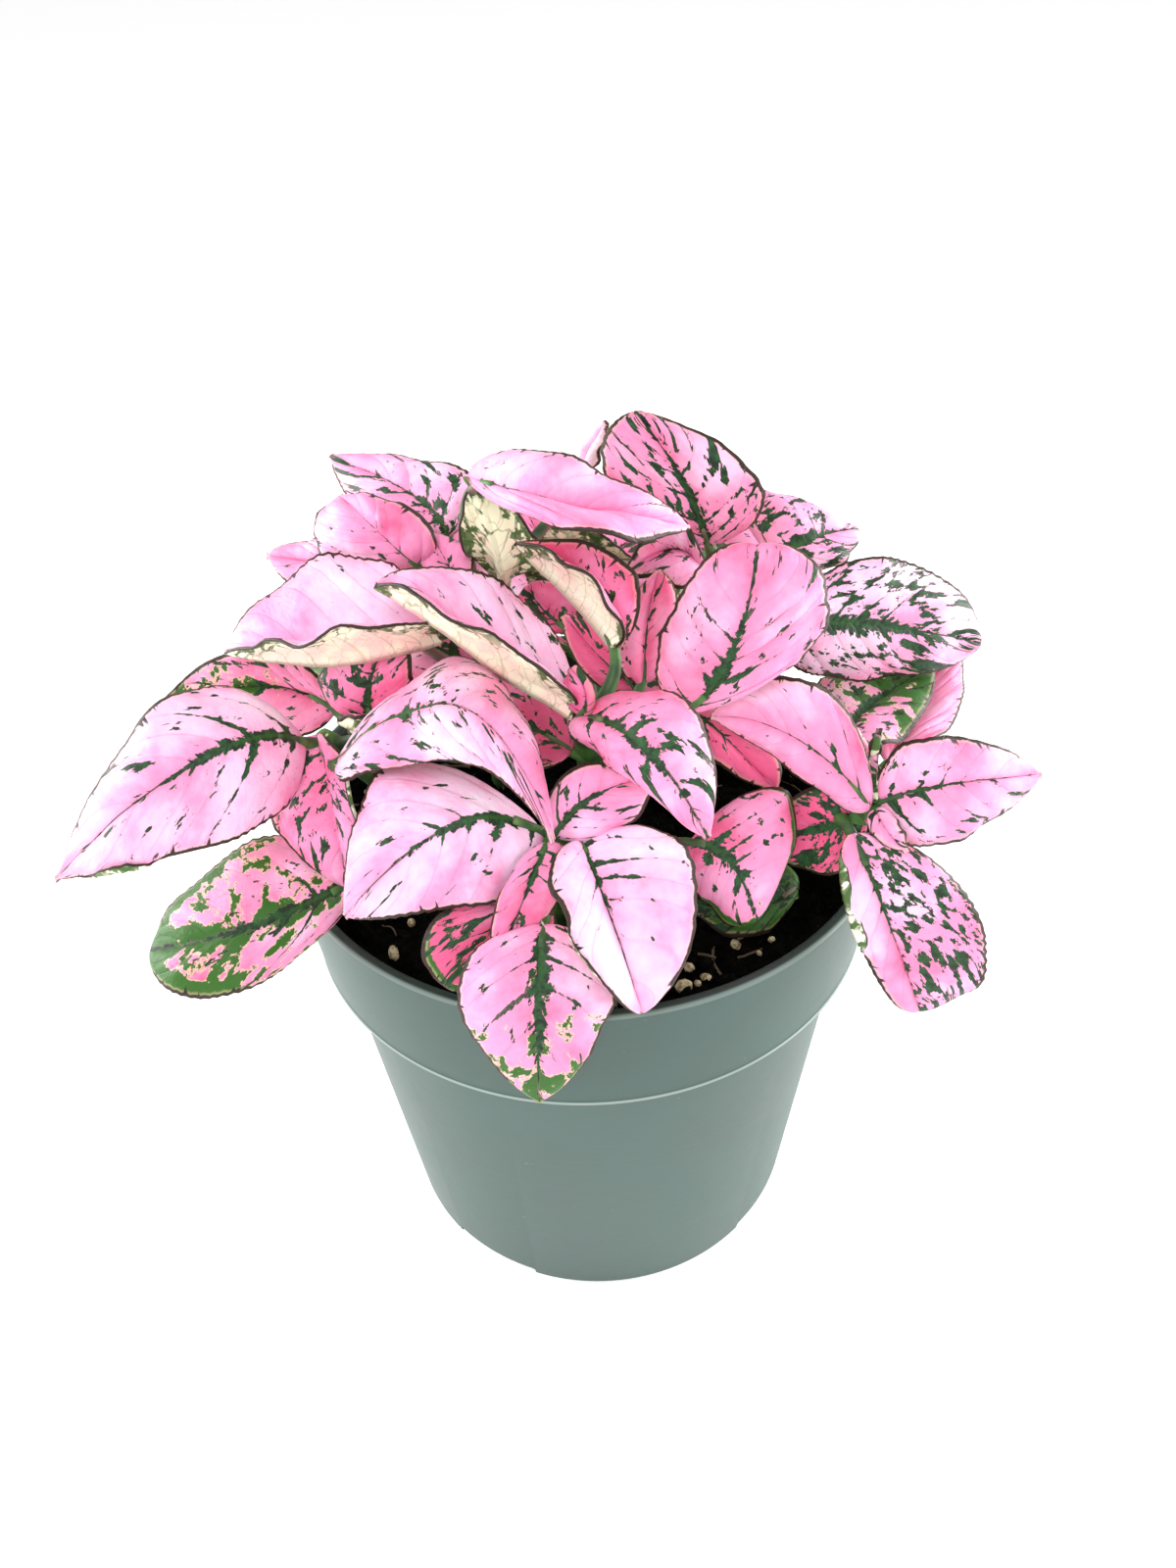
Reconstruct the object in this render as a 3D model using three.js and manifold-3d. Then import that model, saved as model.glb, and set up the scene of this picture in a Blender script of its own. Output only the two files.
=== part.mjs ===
// A polka dot plant in a small round nursery pot.
// Millimetres, +Z up. The origin is the centre of the pot's underside, on the surface it stands on,
// and -Y is the plant's front. Each leafy stem is one solid: its stem, its leaf stalks and its blades.

import * as THREE from 'three';
import { mergeVertices } from 'three/addons/utils/BufferGeometryUtils.js';
import Module from 'manifold-3d';

// Driving dimensions

const POT = {
  height: 48.8,
  rimRadius: 27.5,
  collarHeight: 11.9,
  collarFootRadius: 26.2,
  bodyTopRadius: 24.8,
  baseRadius: 20.75,
  wall: 1.1,
  floor: 2.2,
  sides: 40,
};

const DRAIN = {
  count: 4,
  firstAngle: -124,
  width: 9.6,
  height: 1.1,
  innerRadius: 9,
  holeRadius: 2.6,
  holeDistance: 13.5,
  holeSides: 12,
};

const SOIL = {
  top: 44.5,
  gap: 0.3,
  roughness: 0.35,
  rings: 5,
  sides: 24,
  evenBand: 1,
};

const STEM = {
  radius: 1.3,
  sides: 6,
  steps: 4,
  foot: 37,
  holeGap: 0.35,
  holeSides: 12,
};

const STALK = {
  radius: 0.7,
  sides: 4,
  steps: 3,
  reachIntoBlade: 0.16,
};

const BLADE = {
  thickness: 0.7,
  rows: 6,
  columnsPerHalf: 2,
  smallRows: 4,
  smallLength: 11,
  widest: 0.42,
  baseRound: 0.45,
  taper: 0.8,
  bow: 0.6,
  wave: 0.3,
  wavesAlong: 2.5,
  baseHalfWidth: 0.5,
  tipHalfWidth: 0.3,
};

const COLOUR = {
  pot: '#728579',
  soil: '#241c18',
  pink: '#f4a3cf',
};

// Leaves, stem by stem
// A leaf is five points: where it joins its stalk, the middle of its midrib, its tip, and the widest
// points of its left and right edges, seen from above with the tip ahead. taper is low for a blunt
// tip and high for a drawn-out one.

function leaf(name, base, middle, tip, left, right, { taper = BLADE.taper } = {}) {
  return { name, base, middle, tip, left, right, taper };
}

const STEMS = [
  {
    name: 'leafy_stem_front',
    root: [-2, -13],
    crown: [-2.5, -19, 59.5],
    leaves: [
      leaf('broad_left', [-3.5, -19, 60.5], [-10, -20, 62], [-18.5, -21.5, 55], [-8, -22.5, 56.5], [-14.5, -14, 63.5]),
      leaf('broad_right', [-0.5, -20, 60], [1, -24, 58], [3.5, -28.5, 50.5], [7.5, -21.5, 60], [-2.5, -26.5, 60.5],
        { taper: 0.55 }),
      leaf('small_middle', [-3, -20.5, 60.5], [-4.5, -23, 58.5], [-6.5, -25, 54.5], [-1.5, -22.5, 58.5], [-6.5, -23, 58],
        { taper: 0.5 }),
      leaf('upright', [-2.5, -19.5, 60.5], [0.5, -18.8, 63.3], [4.5, -18, 64.2], [-1, -17.5, 65], [3.5, -19.5, 61.5]),
      leaf('over_rim', [-3.5, -25, 56.5], [-4, -29, 52.5], [-4.5, -31, 44], [1.5, -27.5, 51.3], [-10, -28, 52.3]),
      leaf('low_left', [-4, -20.5, 56], [-7, -22.5, 53.5], [-10.5, -25.5, 50.5], [-4, -23.5, 51.5], [-12.5, -23, 54.5]),
      leaf('low_right', [8, -17.5, 57.5], [11, -18.5, 56], [13, -19.5, 51], [15.5, -14, 59.5], [8, -18, 53],
        { taper: 0.45 }),
    ],
  },
  {
    name: 'leafy_stem_left',
    root: [-13, -3],
    crown: [-21.5, -7, 61],
    leaves: [
      leaf('long_out', [-22.5, -8.5, 62], [-29, -14.5, 65], [-41.5, -17, 56], [-28.5, -17.5, 59], [-31.5, -10, 68],
        { taper: 0.9 }),
      leaf('hanging', [-21.5, -7, 61.5], [-20, -12, 57.5], [-19.5, -14.5, 51.5], [-18, -14, 60.5], [-25.5, -11.5, 57]),
      leaf('low_green', [-19, -12.5, 50.8], [-26, -19.5, 52.5], [-35.5, -18.5, 49], [-27, -23, 49], [-27, -11, 54],
        { taper: 0.65 }),
      leaf('behind', [-21, -1, 60], [-29, 1.5, 61], [-38.5, 1, 58], [-30, -1, 57.5], [-27.5, 1.5, 65]),
      leaf('upright', [-17, -7.5, 63], [-16.5, -6.5, 66.5], [-14.5, -5.5, 69.5], [-21, -5, 66], [-13, -7.5, 67]),
      leaf('young', [-15.5, -8.5, 61.5], [-17, -9.5, 63.5], [-19.5, -8, 63.5], [-17, -10, 65], [-17, -9.5, 61.5]),
      leaf('draped', [-19, -13, 63], [-9, -16, 70], [-2.5, -22.5, 62.5], [-8.5, -8.5, 69], [-11, -17.5, 66.5],
        { taper: 0.9 }),
    ],
  },
  {
    name: 'leafy_stem_centre',
    root: [1, -2],
    crown: [0, -12.5, 65.5],
    leaves: [
      leaf('broad_right', [0, -13, 66.5], [4.5, -21, 69], [8.5, -23.5, 63], [7.5, -17.5, 70.5], [1.5, -18, 66]),
      leaf('folded_left', [-0.5, -12.5, 66.5], [-7.5, -10.5, 71], [-15, -6.5, 75], [-5.5, -15.5, 75], [-6, -5.5, 74]),
      leaf('tiny', [0, -13.5, 67], [0.5, -13.5, 69], [-0.5, -12, 70], [-1, -11.5, 69], [1, -13.5, 69]),
      leaf('low_right', [8.5, -8, 63], [11.5, -11, 62], [15, -13, 58.5], [14.5, -10.5, 62], [10, -12, 61]),
      leaf('puckered', [8, -13, 66.5], [11.5, -11.5, 71], [13.5, -7, 77], [6.5, -9, 71.5], [18, -10.5, 71],
        { taper: 0.5 }),
      leaf('inner_up', [5, -8, 66], [5.5, -5.5, 70], [6.5, -3, 73], [3, -6.5, 69.5], [8, -5.5, 70]),
      leaf('inner_folded', [3, -9, 70], [-0.5, -4.5, 72.5], [-4.5, -4, 76.5], [1, -10, 76.5], [3.5, -5.5, 75.5]),
      leaf('inner_shaded', [-1, -0.5, 66.5], [-3, 0.8, 68], [-4, 2, 69.5], [-5, 0, 67], [-0.5, 2, 69]),
      leaf('under_left', [-1, -10, 61], [-7.5, -6.5, 62], [-14, -2, 58.5], [-9, -11, 61], [-4.5, -1, 62]),
      leaf('under_right', [2.5, -9, 61], [8.5, -3, 61.5], [14, 3, 58], [3.5, -0.5, 61], [12.5, -7, 60]),
      leaf('inner_low', [4.5, -7.5, 65], [2, -5.5, 66.5], [-1, -2.5, 69], [0.5, -6, 65.5], [5, -5.5, 68.5]),
    ],
  },
  {
    name: 'leafy_stem_back_left',
    root: [-8, 8],
    crown: [-8.5, -1, 70.5],
    leaves: [
      leaf('cupped_left', [-11, -5.5, 69.5], [-19, -7.5, 69], [-29, -2, 66.5], [-16.5, -12.5, 74.5], [-20, 0.5, 73.5]),
      leaf('top_arched', [-8, 1.5, 79.5], [-0.5, -7, 81], [8.5, -3, 76.5], [0, -3.5, 83], [0.5, -10.5, 80.5]),
      leaf('far_left', [-10.5, 4.5, 73], [-13, 7.5, 75], [-21.5, 17, 75], [-17.5, 8.5, 72], [-8.5, 8, 77]),
      leaf('ruffled', [-12.5, 1, 72], [-15.5, 1.5, 75], [-19.5, 7, 76], [-21, 4, 72.5], [-12.5, 2, 76.5]),
      leaf('side_left', [-16, 4, 70], [-21, 6, 70], [-27, 10, 69], [-21.5, 4, 67.5], [-21, 8, 71.5]),
      leaf('small_up', [-9.5, -1, 71.5], [-10.5, 0.5, 73], [-11.5, 2.5, 74], [-12.5, 1, 72.5], [-8.5, 1, 73.5]),
      leaf('spike', [0.5, 7.5, 76], [2, 7, 79], [3, 6, 81.5], [1.5, 8, 79], [2.5, 6, 79]),
      leaf('back_low', [-8, 3, 66], [-11, 12, 67], [-15, 21, 61], [-17, 10, 64], [-5, 13, 65]),
      leaf('top_turned', [-6, 2, 70], [-6, -0.5, 74], [-7.5, 2, 79], [-2.5, -2, 75], [-9, -1, 75.5]),
      leaf('back_mid', [-8.5, 2, 60], [-14, 7, 61], [-20, 11.5, 57.5], [-16.5, 3.5, 59.5], [-11.5, 10.5, 60.5]),
      leaf('back_high', [-10, 6.5, 69.5], [-14, 13, 70.5], [-19.5, 20, 66], [-18.5, 10.5, 68.5], [-9.5, 15.5, 69]),
      leaf('back_side', [-14, 4, 63], [-20.5, 8.5, 64.5], [-28, 13, 61.5], [-22.5, 5.5, 66.5], [-18.5, 12, 61.5]),
    ],
  },
  {
    name: 'leafy_stem_back_right',
    root: [9, 8],
    crown: [12, 4, 71],
    leaves: [
      leaf('top', [11, 2, 72.5], [9, 2.5, 77.5], [5.5, 4.5, 83], [2.5, 3, 79], [14.5, 0.5, 79]),
      leaf('small_right', [16.5, 2, 71], [19.5, 2.5, 72.5], [24, 5.5, 71.5], [15.5, 7, 74.5], [22, 3, 69.5]),
      leaf('speckled_right', [16.5, -3, 67.5], [24.5, -1, 66], [35, 2.5, 61.5], [26, 3, 70], [22.5, -1.5, 61],
        { taper: 0.6 }),
      leaf('inner_left', [11, 0, 70.5], [8, 0.5, 73], [3.5, -2.5, 72], [6.5, -2.5, 72], [8, 0, 76]),
      leaf('inner_shaded', [10, -2, 66.5], [8, -1.5, 69], [6.5, -0.5, 71], [9.5, 1, 69.5], [6, -1, 68.5]),
      leaf('back_low', [12, 8, 67], [15, 16, 68], [19, 25, 61], [8, 16.5, 65], [22, 13, 65]),
      leaf('back_mid', [13, 6, 60], [19.5, 8, 61.5], [26.5, 12.5, 58.5], [17.5, 11.5, 60], [21.5, 4.5, 60.5]),
      leaf('back_high', [10, 7, 69.5], [9, 8.5, 74], [7, 7.5, 78.5], [14, 8.5, 75.5], [4, 8.5, 72.5]),
      leaf('back_side', [15, 5, 63.5], [22, 8, 65], [29, 11, 61.5], [20, 11.5, 62.5], [24, 4.5, 67.5]),
    ],
  },
  {
    name: 'leafy_stem_right',
    root: [14, -6],
    crown: [22, -15, 57.5],
    leaves: [
      leaf('broad_inward', [22, -16, 59], [16.5, -13, 63.5], [10, -11.5, 65], [16.5, -13.5, 60.5], [18, -11.5, 67.5]),
      leaf('pointed_out', [23, -15.5, 59], [28.5, -15.5, 60.5], [36.5, -12.5, 58.5], [26.5, -14, 64], [28, -17.5, 56]),
      leaf('hanging', [20.5, -17.5, 57.5], [23.5, -21, 50.5], [26.5, -22, 42], [30.5, -20, 51], [20.5, -21, 51],
        { taper: 0.45 }),
      leaf('under', [22, -15, 57.5], [18.5, -14.5, 55.5], [14, -13, 53.5], [19.5, -16, 52], [18.5, -13, 59]),
      leaf('green_under', [21.5, -7, 58.5], [26, 0, 57.5], [31.5, 3, 58.5], [22, 4.5, 57], [28.5, -4, 57.5]),
      leaf('plain_behind', [26, -6, 55], [30, 1.5, 54.5], [35, 9, 57], [28, 5.5, 54], [34.5, 2.5, 54.5]),
      leaf('young_folded', [22.5, -14, 58.5], [21.5, -12.5, 61.5], [20.5, -11.5, 64], [20.5, -12.5, 61.5], [22.5, -12.5, 61.5]),
      leaf('young_back', [22.5, -15, 59], [22.5, -14, 61.5], [23, -12.5, 63.5], [23, -13.5, 61.5], [22, -13.5, 61.5]),
      leaf('leaflet', [22.5, -16, 58.5], [23, -17.5, 58], [24.5, -18.5, 56.5], [24, -18, 58.5], [22, -18, 57.5]),
      leaf('old_on_soil', [18, -11.5, 46], [13.5, -13.5, 46], [8.5, -12.5, 46], [13, -16.5, 45.5], [14.5, -10, 46]),
    ],
  },
  {
    name: 'leafy_stem_back',
    root: [1, 15],
    crown: [1, 20, 58],
    leaves: [
      leaf('back_middle', [1, 21.5, 58.5], [0, 28.5, 60.5], [3, 38, 53], [-6.5, 27, 59], [8, 29, 57.5]),
      leaf('back_left', [-1, 21, 56.5], [-9.5, 25.5, 58.5], [-20, 31.5, 54], [-13, 19, 55.5], [-6, 31.5, 57]),
      leaf('back_right', [3, 21, 56.5], [11, 26, 56.5], [17.5, 33, 48], [7.5, 31, 53.5], [15.5, 21, 55]),
      leaf('low_left', [-1, 19, 52.5], [-14, 19, 54.5], [-28.5, 20.5, 51], [-16, 12.5, 50.8], [-14.5, 25.5, 53.5]),
      leaf('low_right', [3, 19, 52.5], [16, 20, 53.5], [28.5, 24, 54], [14.5, 26, 51], [17.5, 13.5, 52.5]),
      leaf('upper', [1, 19, 59], [0, 14.5, 64], [-1, 13.5, 70], [6, 14.5, 64], [-5.5, 15, 64]),
      leaf('mid_left', [-1, 18.5, 58], [-7.5, 16.5, 60.5], [-15, 17.5, 57], [-9, 12.5, 57.5], [-7.5, 21.5, 60.5]),
      leaf('mid_right', [3, 18.5, 58], [9.5, 15, 60.5], [16, 12, 58], [9, 19.5, 62], [9.5, 11, 57.5]),
      leaf('small_left', [0, 20.5, 59.5], [-3.5, 22, 63.5], [-5, 25, 66.5], [-6, 21, 64], [-1.5, 24, 64.5]),
      leaf('small_right', [2, 20.5, 59.5], [5, 22.5, 62], [8.5, 26, 61.5], [3.5, 24.5, 62.5], [7.5, 21.5, 61.5]),
    ],
  },
];

// Solids and unions

const wasm = await Module();
wasm.setup();

function solidOf(geometry) {
  const bare = geometry.clone();
  bare.deleteAttribute('normal');
  bare.deleteAttribute('uv');
  const merged = mergeVertices(bare, 1e-4);
  return new wasm.Manifold(new wasm.Mesh({
    numProp: 3,
    vertProperties: new Float32Array(merged.attributes.position.array),
    triVerts: new Uint32Array(merged.index.array),
  }));
}

// Keeps the largest body of a solid: hollows sealed between crossing leaves are filled.
function largestBody(solid) {
  return solid.decompose().reduce((best, body) => (body.volume() > best.volume() ? body : best));
}

function geometryOf(solid) {
  const mesh = solid.getMesh();
  const geometry = new THREE.BufferGeometry();
  geometry.setAttribute('position', new THREE.BufferAttribute(mesh.vertProperties, 3));
  geometry.setIndex(new THREE.BufferAttribute(mesh.triVerts, 1));
  geometry.computeVertexNormals();
  return geometry;
}

function node(name, geometry, color, roughness) {
  const material = new THREE.MeshStandardMaterial({ color, roughness, metalness: 0 });
  const mesh = new THREE.Mesh(geometry, material);
  mesh.name = name;
  return mesh;
}

function point(values) {
  return new THREE.Vector3(...values);
}

// Turns a profile of [radius, height] points round the Z axis.
function turned(profile, sides) {
  const points = profile.map(([radius, height]) => new THREE.Vector2(radius, height));
  return new THREE.LatheGeometry(points, sides).rotateX(Math.PI / 2);
}

// A round rod with flat ends along a curve.
function rod(curve, radius, sides, steps) {
  const section = new THREE.Shape();
  for (let i = 0; i < sides; i += 1) {
    const angle = (i / sides) * 2 * Math.PI;
    const x = radius * Math.cos(angle);
    const y = radius * Math.sin(angle);
    if (i === 0) section.moveTo(x, y);
    else section.lineTo(x, y);
  }
  section.closePath();
  return new THREE.ExtrudeGeometry(section, { steps, bevelEnabled: false, extrudePath: curve });
}

// Pot: a tapered body under a wider collar, open at the top, with channels under its floor

function innerRadiusAt(height) {
  const collarFoot = POT.height - POT.collarHeight;
  const [lowZ, lowR, highZ, highR] = height < collarFoot
    ? [0, POT.baseRadius, collarFoot, POT.bodyTopRadius]
    : [collarFoot, POT.bodyTopRadius, POT.height, POT.rimRadius];
  return lowR + ((highR - lowR) * (height - lowZ)) / (highZ - lowZ) - POT.wall;
}

function potGeometry() {
  const collarFoot = POT.height - POT.collarHeight;
  const shell = turned([
    [0, 0],
    [POT.baseRadius, 0],
    [POT.bodyTopRadius, collarFoot],
    [POT.collarFootRadius, collarFoot],
    [POT.rimRadius, POT.height],
    [innerRadiusAt(POT.height), POT.height],
    [innerRadiusAt(collarFoot), collarFoot],
    [innerRadiusAt(POT.floor), POT.floor],
    [0, POT.floor],
  ], POT.sides);
  let pot = solidOf(shell);
  const channelLength = POT.baseRadius + 2 - DRAIN.innerRadius;
  for (let i = 0; i < DRAIN.count; i += 1) {
    const angle = THREE.MathUtils.degToRad(DRAIN.firstAngle + (i * 360) / DRAIN.count);
    const channel = new THREE.BoxGeometry(channelLength, DRAIN.width, 2 * DRAIN.height)
      .translate(DRAIN.innerRadius + channelLength / 2, 0, 0)
      .rotateZ(angle);
    const hole = new THREE.CylinderGeometry(DRAIN.holeRadius, DRAIN.holeRadius, 3 * POT.floor, DRAIN.holeSides)
      .rotateX(Math.PI / 2)
      .translate(DRAIN.holeDistance, 0, 0)
      .rotateZ(angle);
    pot = pot.subtract(solidOf(channel)).subtract(solidOf(hole));
  }
  return geometryOf(pot);
}

// Stems: straight in the soil, then bending to the crown where the leaves spring

function stemCurve(stem) {
  const [x, y] = stem.root;
  const crown = point(stem.crown);
  const soilExit = new THREE.Vector3(x, y, SOIL.top + 1);
  const bend = new THREE.Vector3(x, y, SOIL.top + 1).lerp(crown, 0.45);
  bend.x = (bend.x + x) / 2;
  bend.y = (bend.y + y) / 2;
  return {
    buried: new THREE.LineCurve3(new THREE.Vector3(x, y, STEM.foot), soilExit),
    free: new THREE.QuadraticBezierCurve3(new THREE.Vector3(x, y, SOIL.top), bend, crown),
  };
}

// Soil: fills the pot up to just under the rim, with a gently uneven top and a plain hole for each stem

function soilGeometry() {
  const bottom = POT.floor + SOIL.gap;
  const collarFoot = POT.height - POT.collarHeight;
  const wallAt = (height) => innerRadiusAt(height) * Math.cos(Math.PI / POT.sides) - SOIL.gap;
  const top = [];
  for (let i = SOIL.rings; i >= 0; i -= 1) top.push([(i / SOIL.rings) * wallAt(SOIL.top), SOIL.top]);
  const body = turned([
    [0, bottom],
    [wallAt(bottom), bottom],
    [wallAt(collarFoot), collarFoot],
    ...top,
  ], SOIL.sides);
  const position = body.attributes.position;
  for (let i = 0; i < position.count; i += 1) {
    const x = position.getX(i);
    const y = position.getY(i);
    const inside = position.getZ(i) > SOIL.top - 0.01 && Math.hypot(x, y) < wallAt(SOIL.top) - SOIL.evenBand;
    const height = Math.sin(0.55 * x + 1) * Math.cos(0.47 * y) + 0.6 * Math.sin(0.9 * x - 1.1 * y);
    if (inside) position.setZ(i, SOIL.top + SOIL.roughness * height);
  }
  let soil = solidOf(body);
  const holeRadius = STEM.radius + STEM.holeGap;
  for (const stem of STEMS) {
    const [x, y] = stem.root;
    const floor = new THREE.Vector3(x, y, STEM.foot - STEM.holeGap);
    const above = new THREE.Vector3(x, y, SOIL.top + 3);
    soil = soil.subtract(solidOf(rod(new THREE.LineCurve3(floor, above), holeRadius, STEM.holeSides, 1)));
  }
  return geometryOf(soil);
}

// Blades: a slab between two copies of one waved surface

// How much of its full half-width a blade has at a share t of its length.
function outlineAt(t, taper) {
  const { baseRound } = BLADE;
  const peak = baseRound / (baseRound + taper);
  return (t / peak) ** baseRound * ((1 - t) / (1 - peak)) ** taper;
}

function midrib({ base, middle, tip }) {
  const ends = point(base).add(point(tip)).multiplyScalar(0.5);
  const control = point(middle).multiplyScalar(2).sub(ends);
  return new THREE.QuadraticBezierCurve3(point(base), control, point(tip));
}

// The surface's points, row by row from base to tip, each row from the left edge to the right one.
function bladeRows(shape) {
  const curve = midrib(shape);
  const widest = curve.getPoint(BLADE.widest);
  const edges = [point(shape.left).sub(widest), point(shape.right).sub(widest)];
  const small = curve.getLength() < BLADE.smallLength;
  const steps = small ? BLADE.smallRows : BLADE.rows;
  const columns = small ? 1 : BLADE.columnsPerHalf;
  const rows = [];
  for (let i = 0; i <= steps; i += 1) {
    const t = i / steps;
    const centre = curve.getPoint(t);
    const ahead = curve.getTangent(t);
    const grow = outlineAt(t, shape.taper);
    const row = [];
    for (let j = -columns; j <= columns; j += 1) {
      const share = Math.abs(j) / columns;
      const half = j < 0 ? 0 : 1;
      const side = half === 0 ? -1 : 1;
      const across = edges[half];
      const least = THREE.MathUtils.lerp(BLADE.baseHalfWidth, BLADE.tipHalfWidth, t) / across.length();
      const normal = new THREE.Vector3().crossVectors(across, ahead).multiplyScalar(side).normalize();
      const phase = half === 0 ? 1.3 : 0;
      const bow = BLADE.bow * 4 * share * (1 - share);
      const wave = BLADE.wave * share * share * Math.sin(2 * Math.PI * BLADE.wavesAlong * t + phase);
      row.push(centre.clone()
        .addScaledVector(across, Math.max(grow, least) * share)
        .addScaledVector(normal, (bow + wave) * grow));
    }
    rows.push(row);
  }
  return rows;
}

// At each point the mean of the surrounding facets' normals, lengthened where the blade is folded
// so that the slab keeps its thickness there.
function offsets(rows) {
  const height = rows.length;
  const width = rows[0].length;
  const sums = rows.map((row) => row.map(() => []));
  for (let i = 0; i < height - 1; i += 1) {
    for (let j = 0; j < width - 1; j += 1) {
      const diagonal = rows[i + 1][j + 1].clone().sub(rows[i][j]);
      const other = rows[i + 1][j].clone().sub(rows[i][j + 1]);
      const normal = diagonal.cross(other).normalize();
      for (const [a, b] of [[i, j], [i + 1, j], [i, j + 1], [i + 1, j + 1]]) sums[a][b].push(normal);
    }
  }
  return sums.map((row) => row.map((normals) => {
    const mean = normals.reduce((sum, normal) => sum.add(normal), new THREE.Vector3()).normalize();
    const least = Math.min(...normals.map((normal) => normal.dot(mean)));
    return mean.divideScalar(Math.max(least, 0.62));
  }));
}

function bladeSolid(shape) {
  const rows = bladeRows(shape);
  const lift = offsets(rows);
  const height = rows.length;
  const width = rows[0].length;
  const positions = [];
  for (const side of [1, -1]) {
    rows.forEach((row, i) => row.forEach((p, j) => {
      const moved = p.clone().addScaledVector(lift[i][j], (side * BLADE.thickness) / 2);
      positions.push(moved.x, moved.y, moved.z);
    }));
  }
  const upper = (i, j) => i * width + j;
  const lower = (i, j) => height * width + i * width + j;
  const index = [];
  const quad = (a, b, c, d) => index.push(a, b, c, a, c, d);
  for (let i = 0; i < height - 1; i += 1) {
    for (let j = 0; j < width - 1; j += 1) {
      const mirrored = j >= (width - 1) / 2;
      if (mirrored) {
        quad(upper(i, j), upper(i, j + 1), upper(i + 1, j + 1), upper(i + 1, j));
        quad(lower(i + 1, j + 1), lower(i, j + 1), lower(i, j), lower(i + 1, j));
      } else {
        quad(upper(i, j + 1), upper(i + 1, j + 1), upper(i + 1, j), upper(i, j));
        quad(lower(i + 1, j), lower(i + 1, j + 1), lower(i, j + 1), lower(i, j));
      }
    }
    quad(upper(i, 0), upper(i + 1, 0), lower(i + 1, 0), lower(i, 0));
    quad(upper(i + 1, width - 1), upper(i, width - 1), lower(i, width - 1), lower(i + 1, width - 1));
  }
  for (let j = 0; j < width - 1; j += 1) {
    quad(upper(0, j + 1), upper(0, j), lower(0, j), lower(0, j + 1));
    quad(upper(height - 1, j), upper(height - 1, j + 1), lower(height - 1, j + 1), lower(height - 1, j));
  }
  const geometry = new THREE.BufferGeometry();
  geometry.setAttribute('position', new THREE.Float32BufferAttribute(positions, 3));
  geometry.setIndex(index);
  return solidOf(geometry);
}

// A leaf's stalk leaves the stem below the leaf and ends inside the blade, under the midrib.
function stalkSolid(stem, shape) {
  const base = point(shape.base);
  const along = midrib(shape);
  const end = along.getPoint(STALK.reachIntoBlade);
  const { free } = stemCurve(stem);
  const crown = point(stem.crown);
  const reach = Math.hypot(base.x - crown.x, base.y - crown.y);
  const startZ = Math.min(crown.z - 0.5, base.z - 1 - 0.4 * reach);
  const share = THREE.MathUtils.clamp((startZ - SOIL.top) / (crown.z - SOIL.top), 0.12, 1);
  const start = free.getPoint(share);
  const approach = base.clone().addScaledVector(along.getTangent(0), -0.35 * start.distanceTo(base));
  const path = new THREE.CubicBezierCurve3(start, start.clone().lerp(approach, 0.6), approach.lerp(base, 0.3), end);
  return solidOf(rod(path, STALK.radius, STALK.sides, STALK.steps));
}

function leafyStemGeometry(stem) {
  const { buried, free } = stemCurve(stem);
  let plant = solidOf(rod(buried, STEM.radius, STEM.sides, 1)).add(solidOf(rod(free, STEM.radius, STEM.sides, STEM.steps)));
  for (const shape of stem.leaves) {
    plant = plant.add(bladeSolid(shape)).add(stalkSolid(stem, shape));
  }
  return geometryOf(largestBody(plant.simplify(0.01)));
}

const plant = new THREE.Group();
plant.add(node('pot', potGeometry(), COLOUR.pot, 0.55));
plant.add(node('soil', soilGeometry(), COLOUR.soil, 0.95));
for (const stem of STEMS) {
  plant.add(node(stem.name, leafyStemGeometry(stem), COLOUR.pink, 0.5));
}

export default plant;
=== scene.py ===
import math
from collections import namedtuple
from functools import partialmethod

import bpy
import numpy as np
from mathutils import Matrix, Vector


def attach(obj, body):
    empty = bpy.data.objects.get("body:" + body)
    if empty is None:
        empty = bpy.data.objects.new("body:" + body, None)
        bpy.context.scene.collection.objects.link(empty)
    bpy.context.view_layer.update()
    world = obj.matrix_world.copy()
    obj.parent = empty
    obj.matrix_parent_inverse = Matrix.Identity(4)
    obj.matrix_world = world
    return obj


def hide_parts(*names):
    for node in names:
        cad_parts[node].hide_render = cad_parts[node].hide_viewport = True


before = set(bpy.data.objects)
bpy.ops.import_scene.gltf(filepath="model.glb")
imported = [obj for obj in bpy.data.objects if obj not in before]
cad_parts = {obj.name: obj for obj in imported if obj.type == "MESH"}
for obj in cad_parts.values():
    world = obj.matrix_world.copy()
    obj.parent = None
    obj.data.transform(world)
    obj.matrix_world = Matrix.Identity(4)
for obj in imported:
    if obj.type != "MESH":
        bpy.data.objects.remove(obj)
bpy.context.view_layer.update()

# A polka dot plant in a small round nursery pot. Shapes are worked out in millimetres, in the
# part's own frame: +Z up, the origin under the middle of the pot, and -Y towards the camera.

MM = 0.001

# Camera of the photograph, whose long side is 1600 pixels

CAMERA_PLACE = (0, -90.3, 121.5)
CAMERA_PITCH = 38.53
CAMERA_YAW = 0.18
CAMERA_ROLL = -2.41
CAMERA_FOCAL_PIXELS = 1280
PHOTO_LONG_SIDE = 1600
SENSOR_WIDTH = 36

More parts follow.
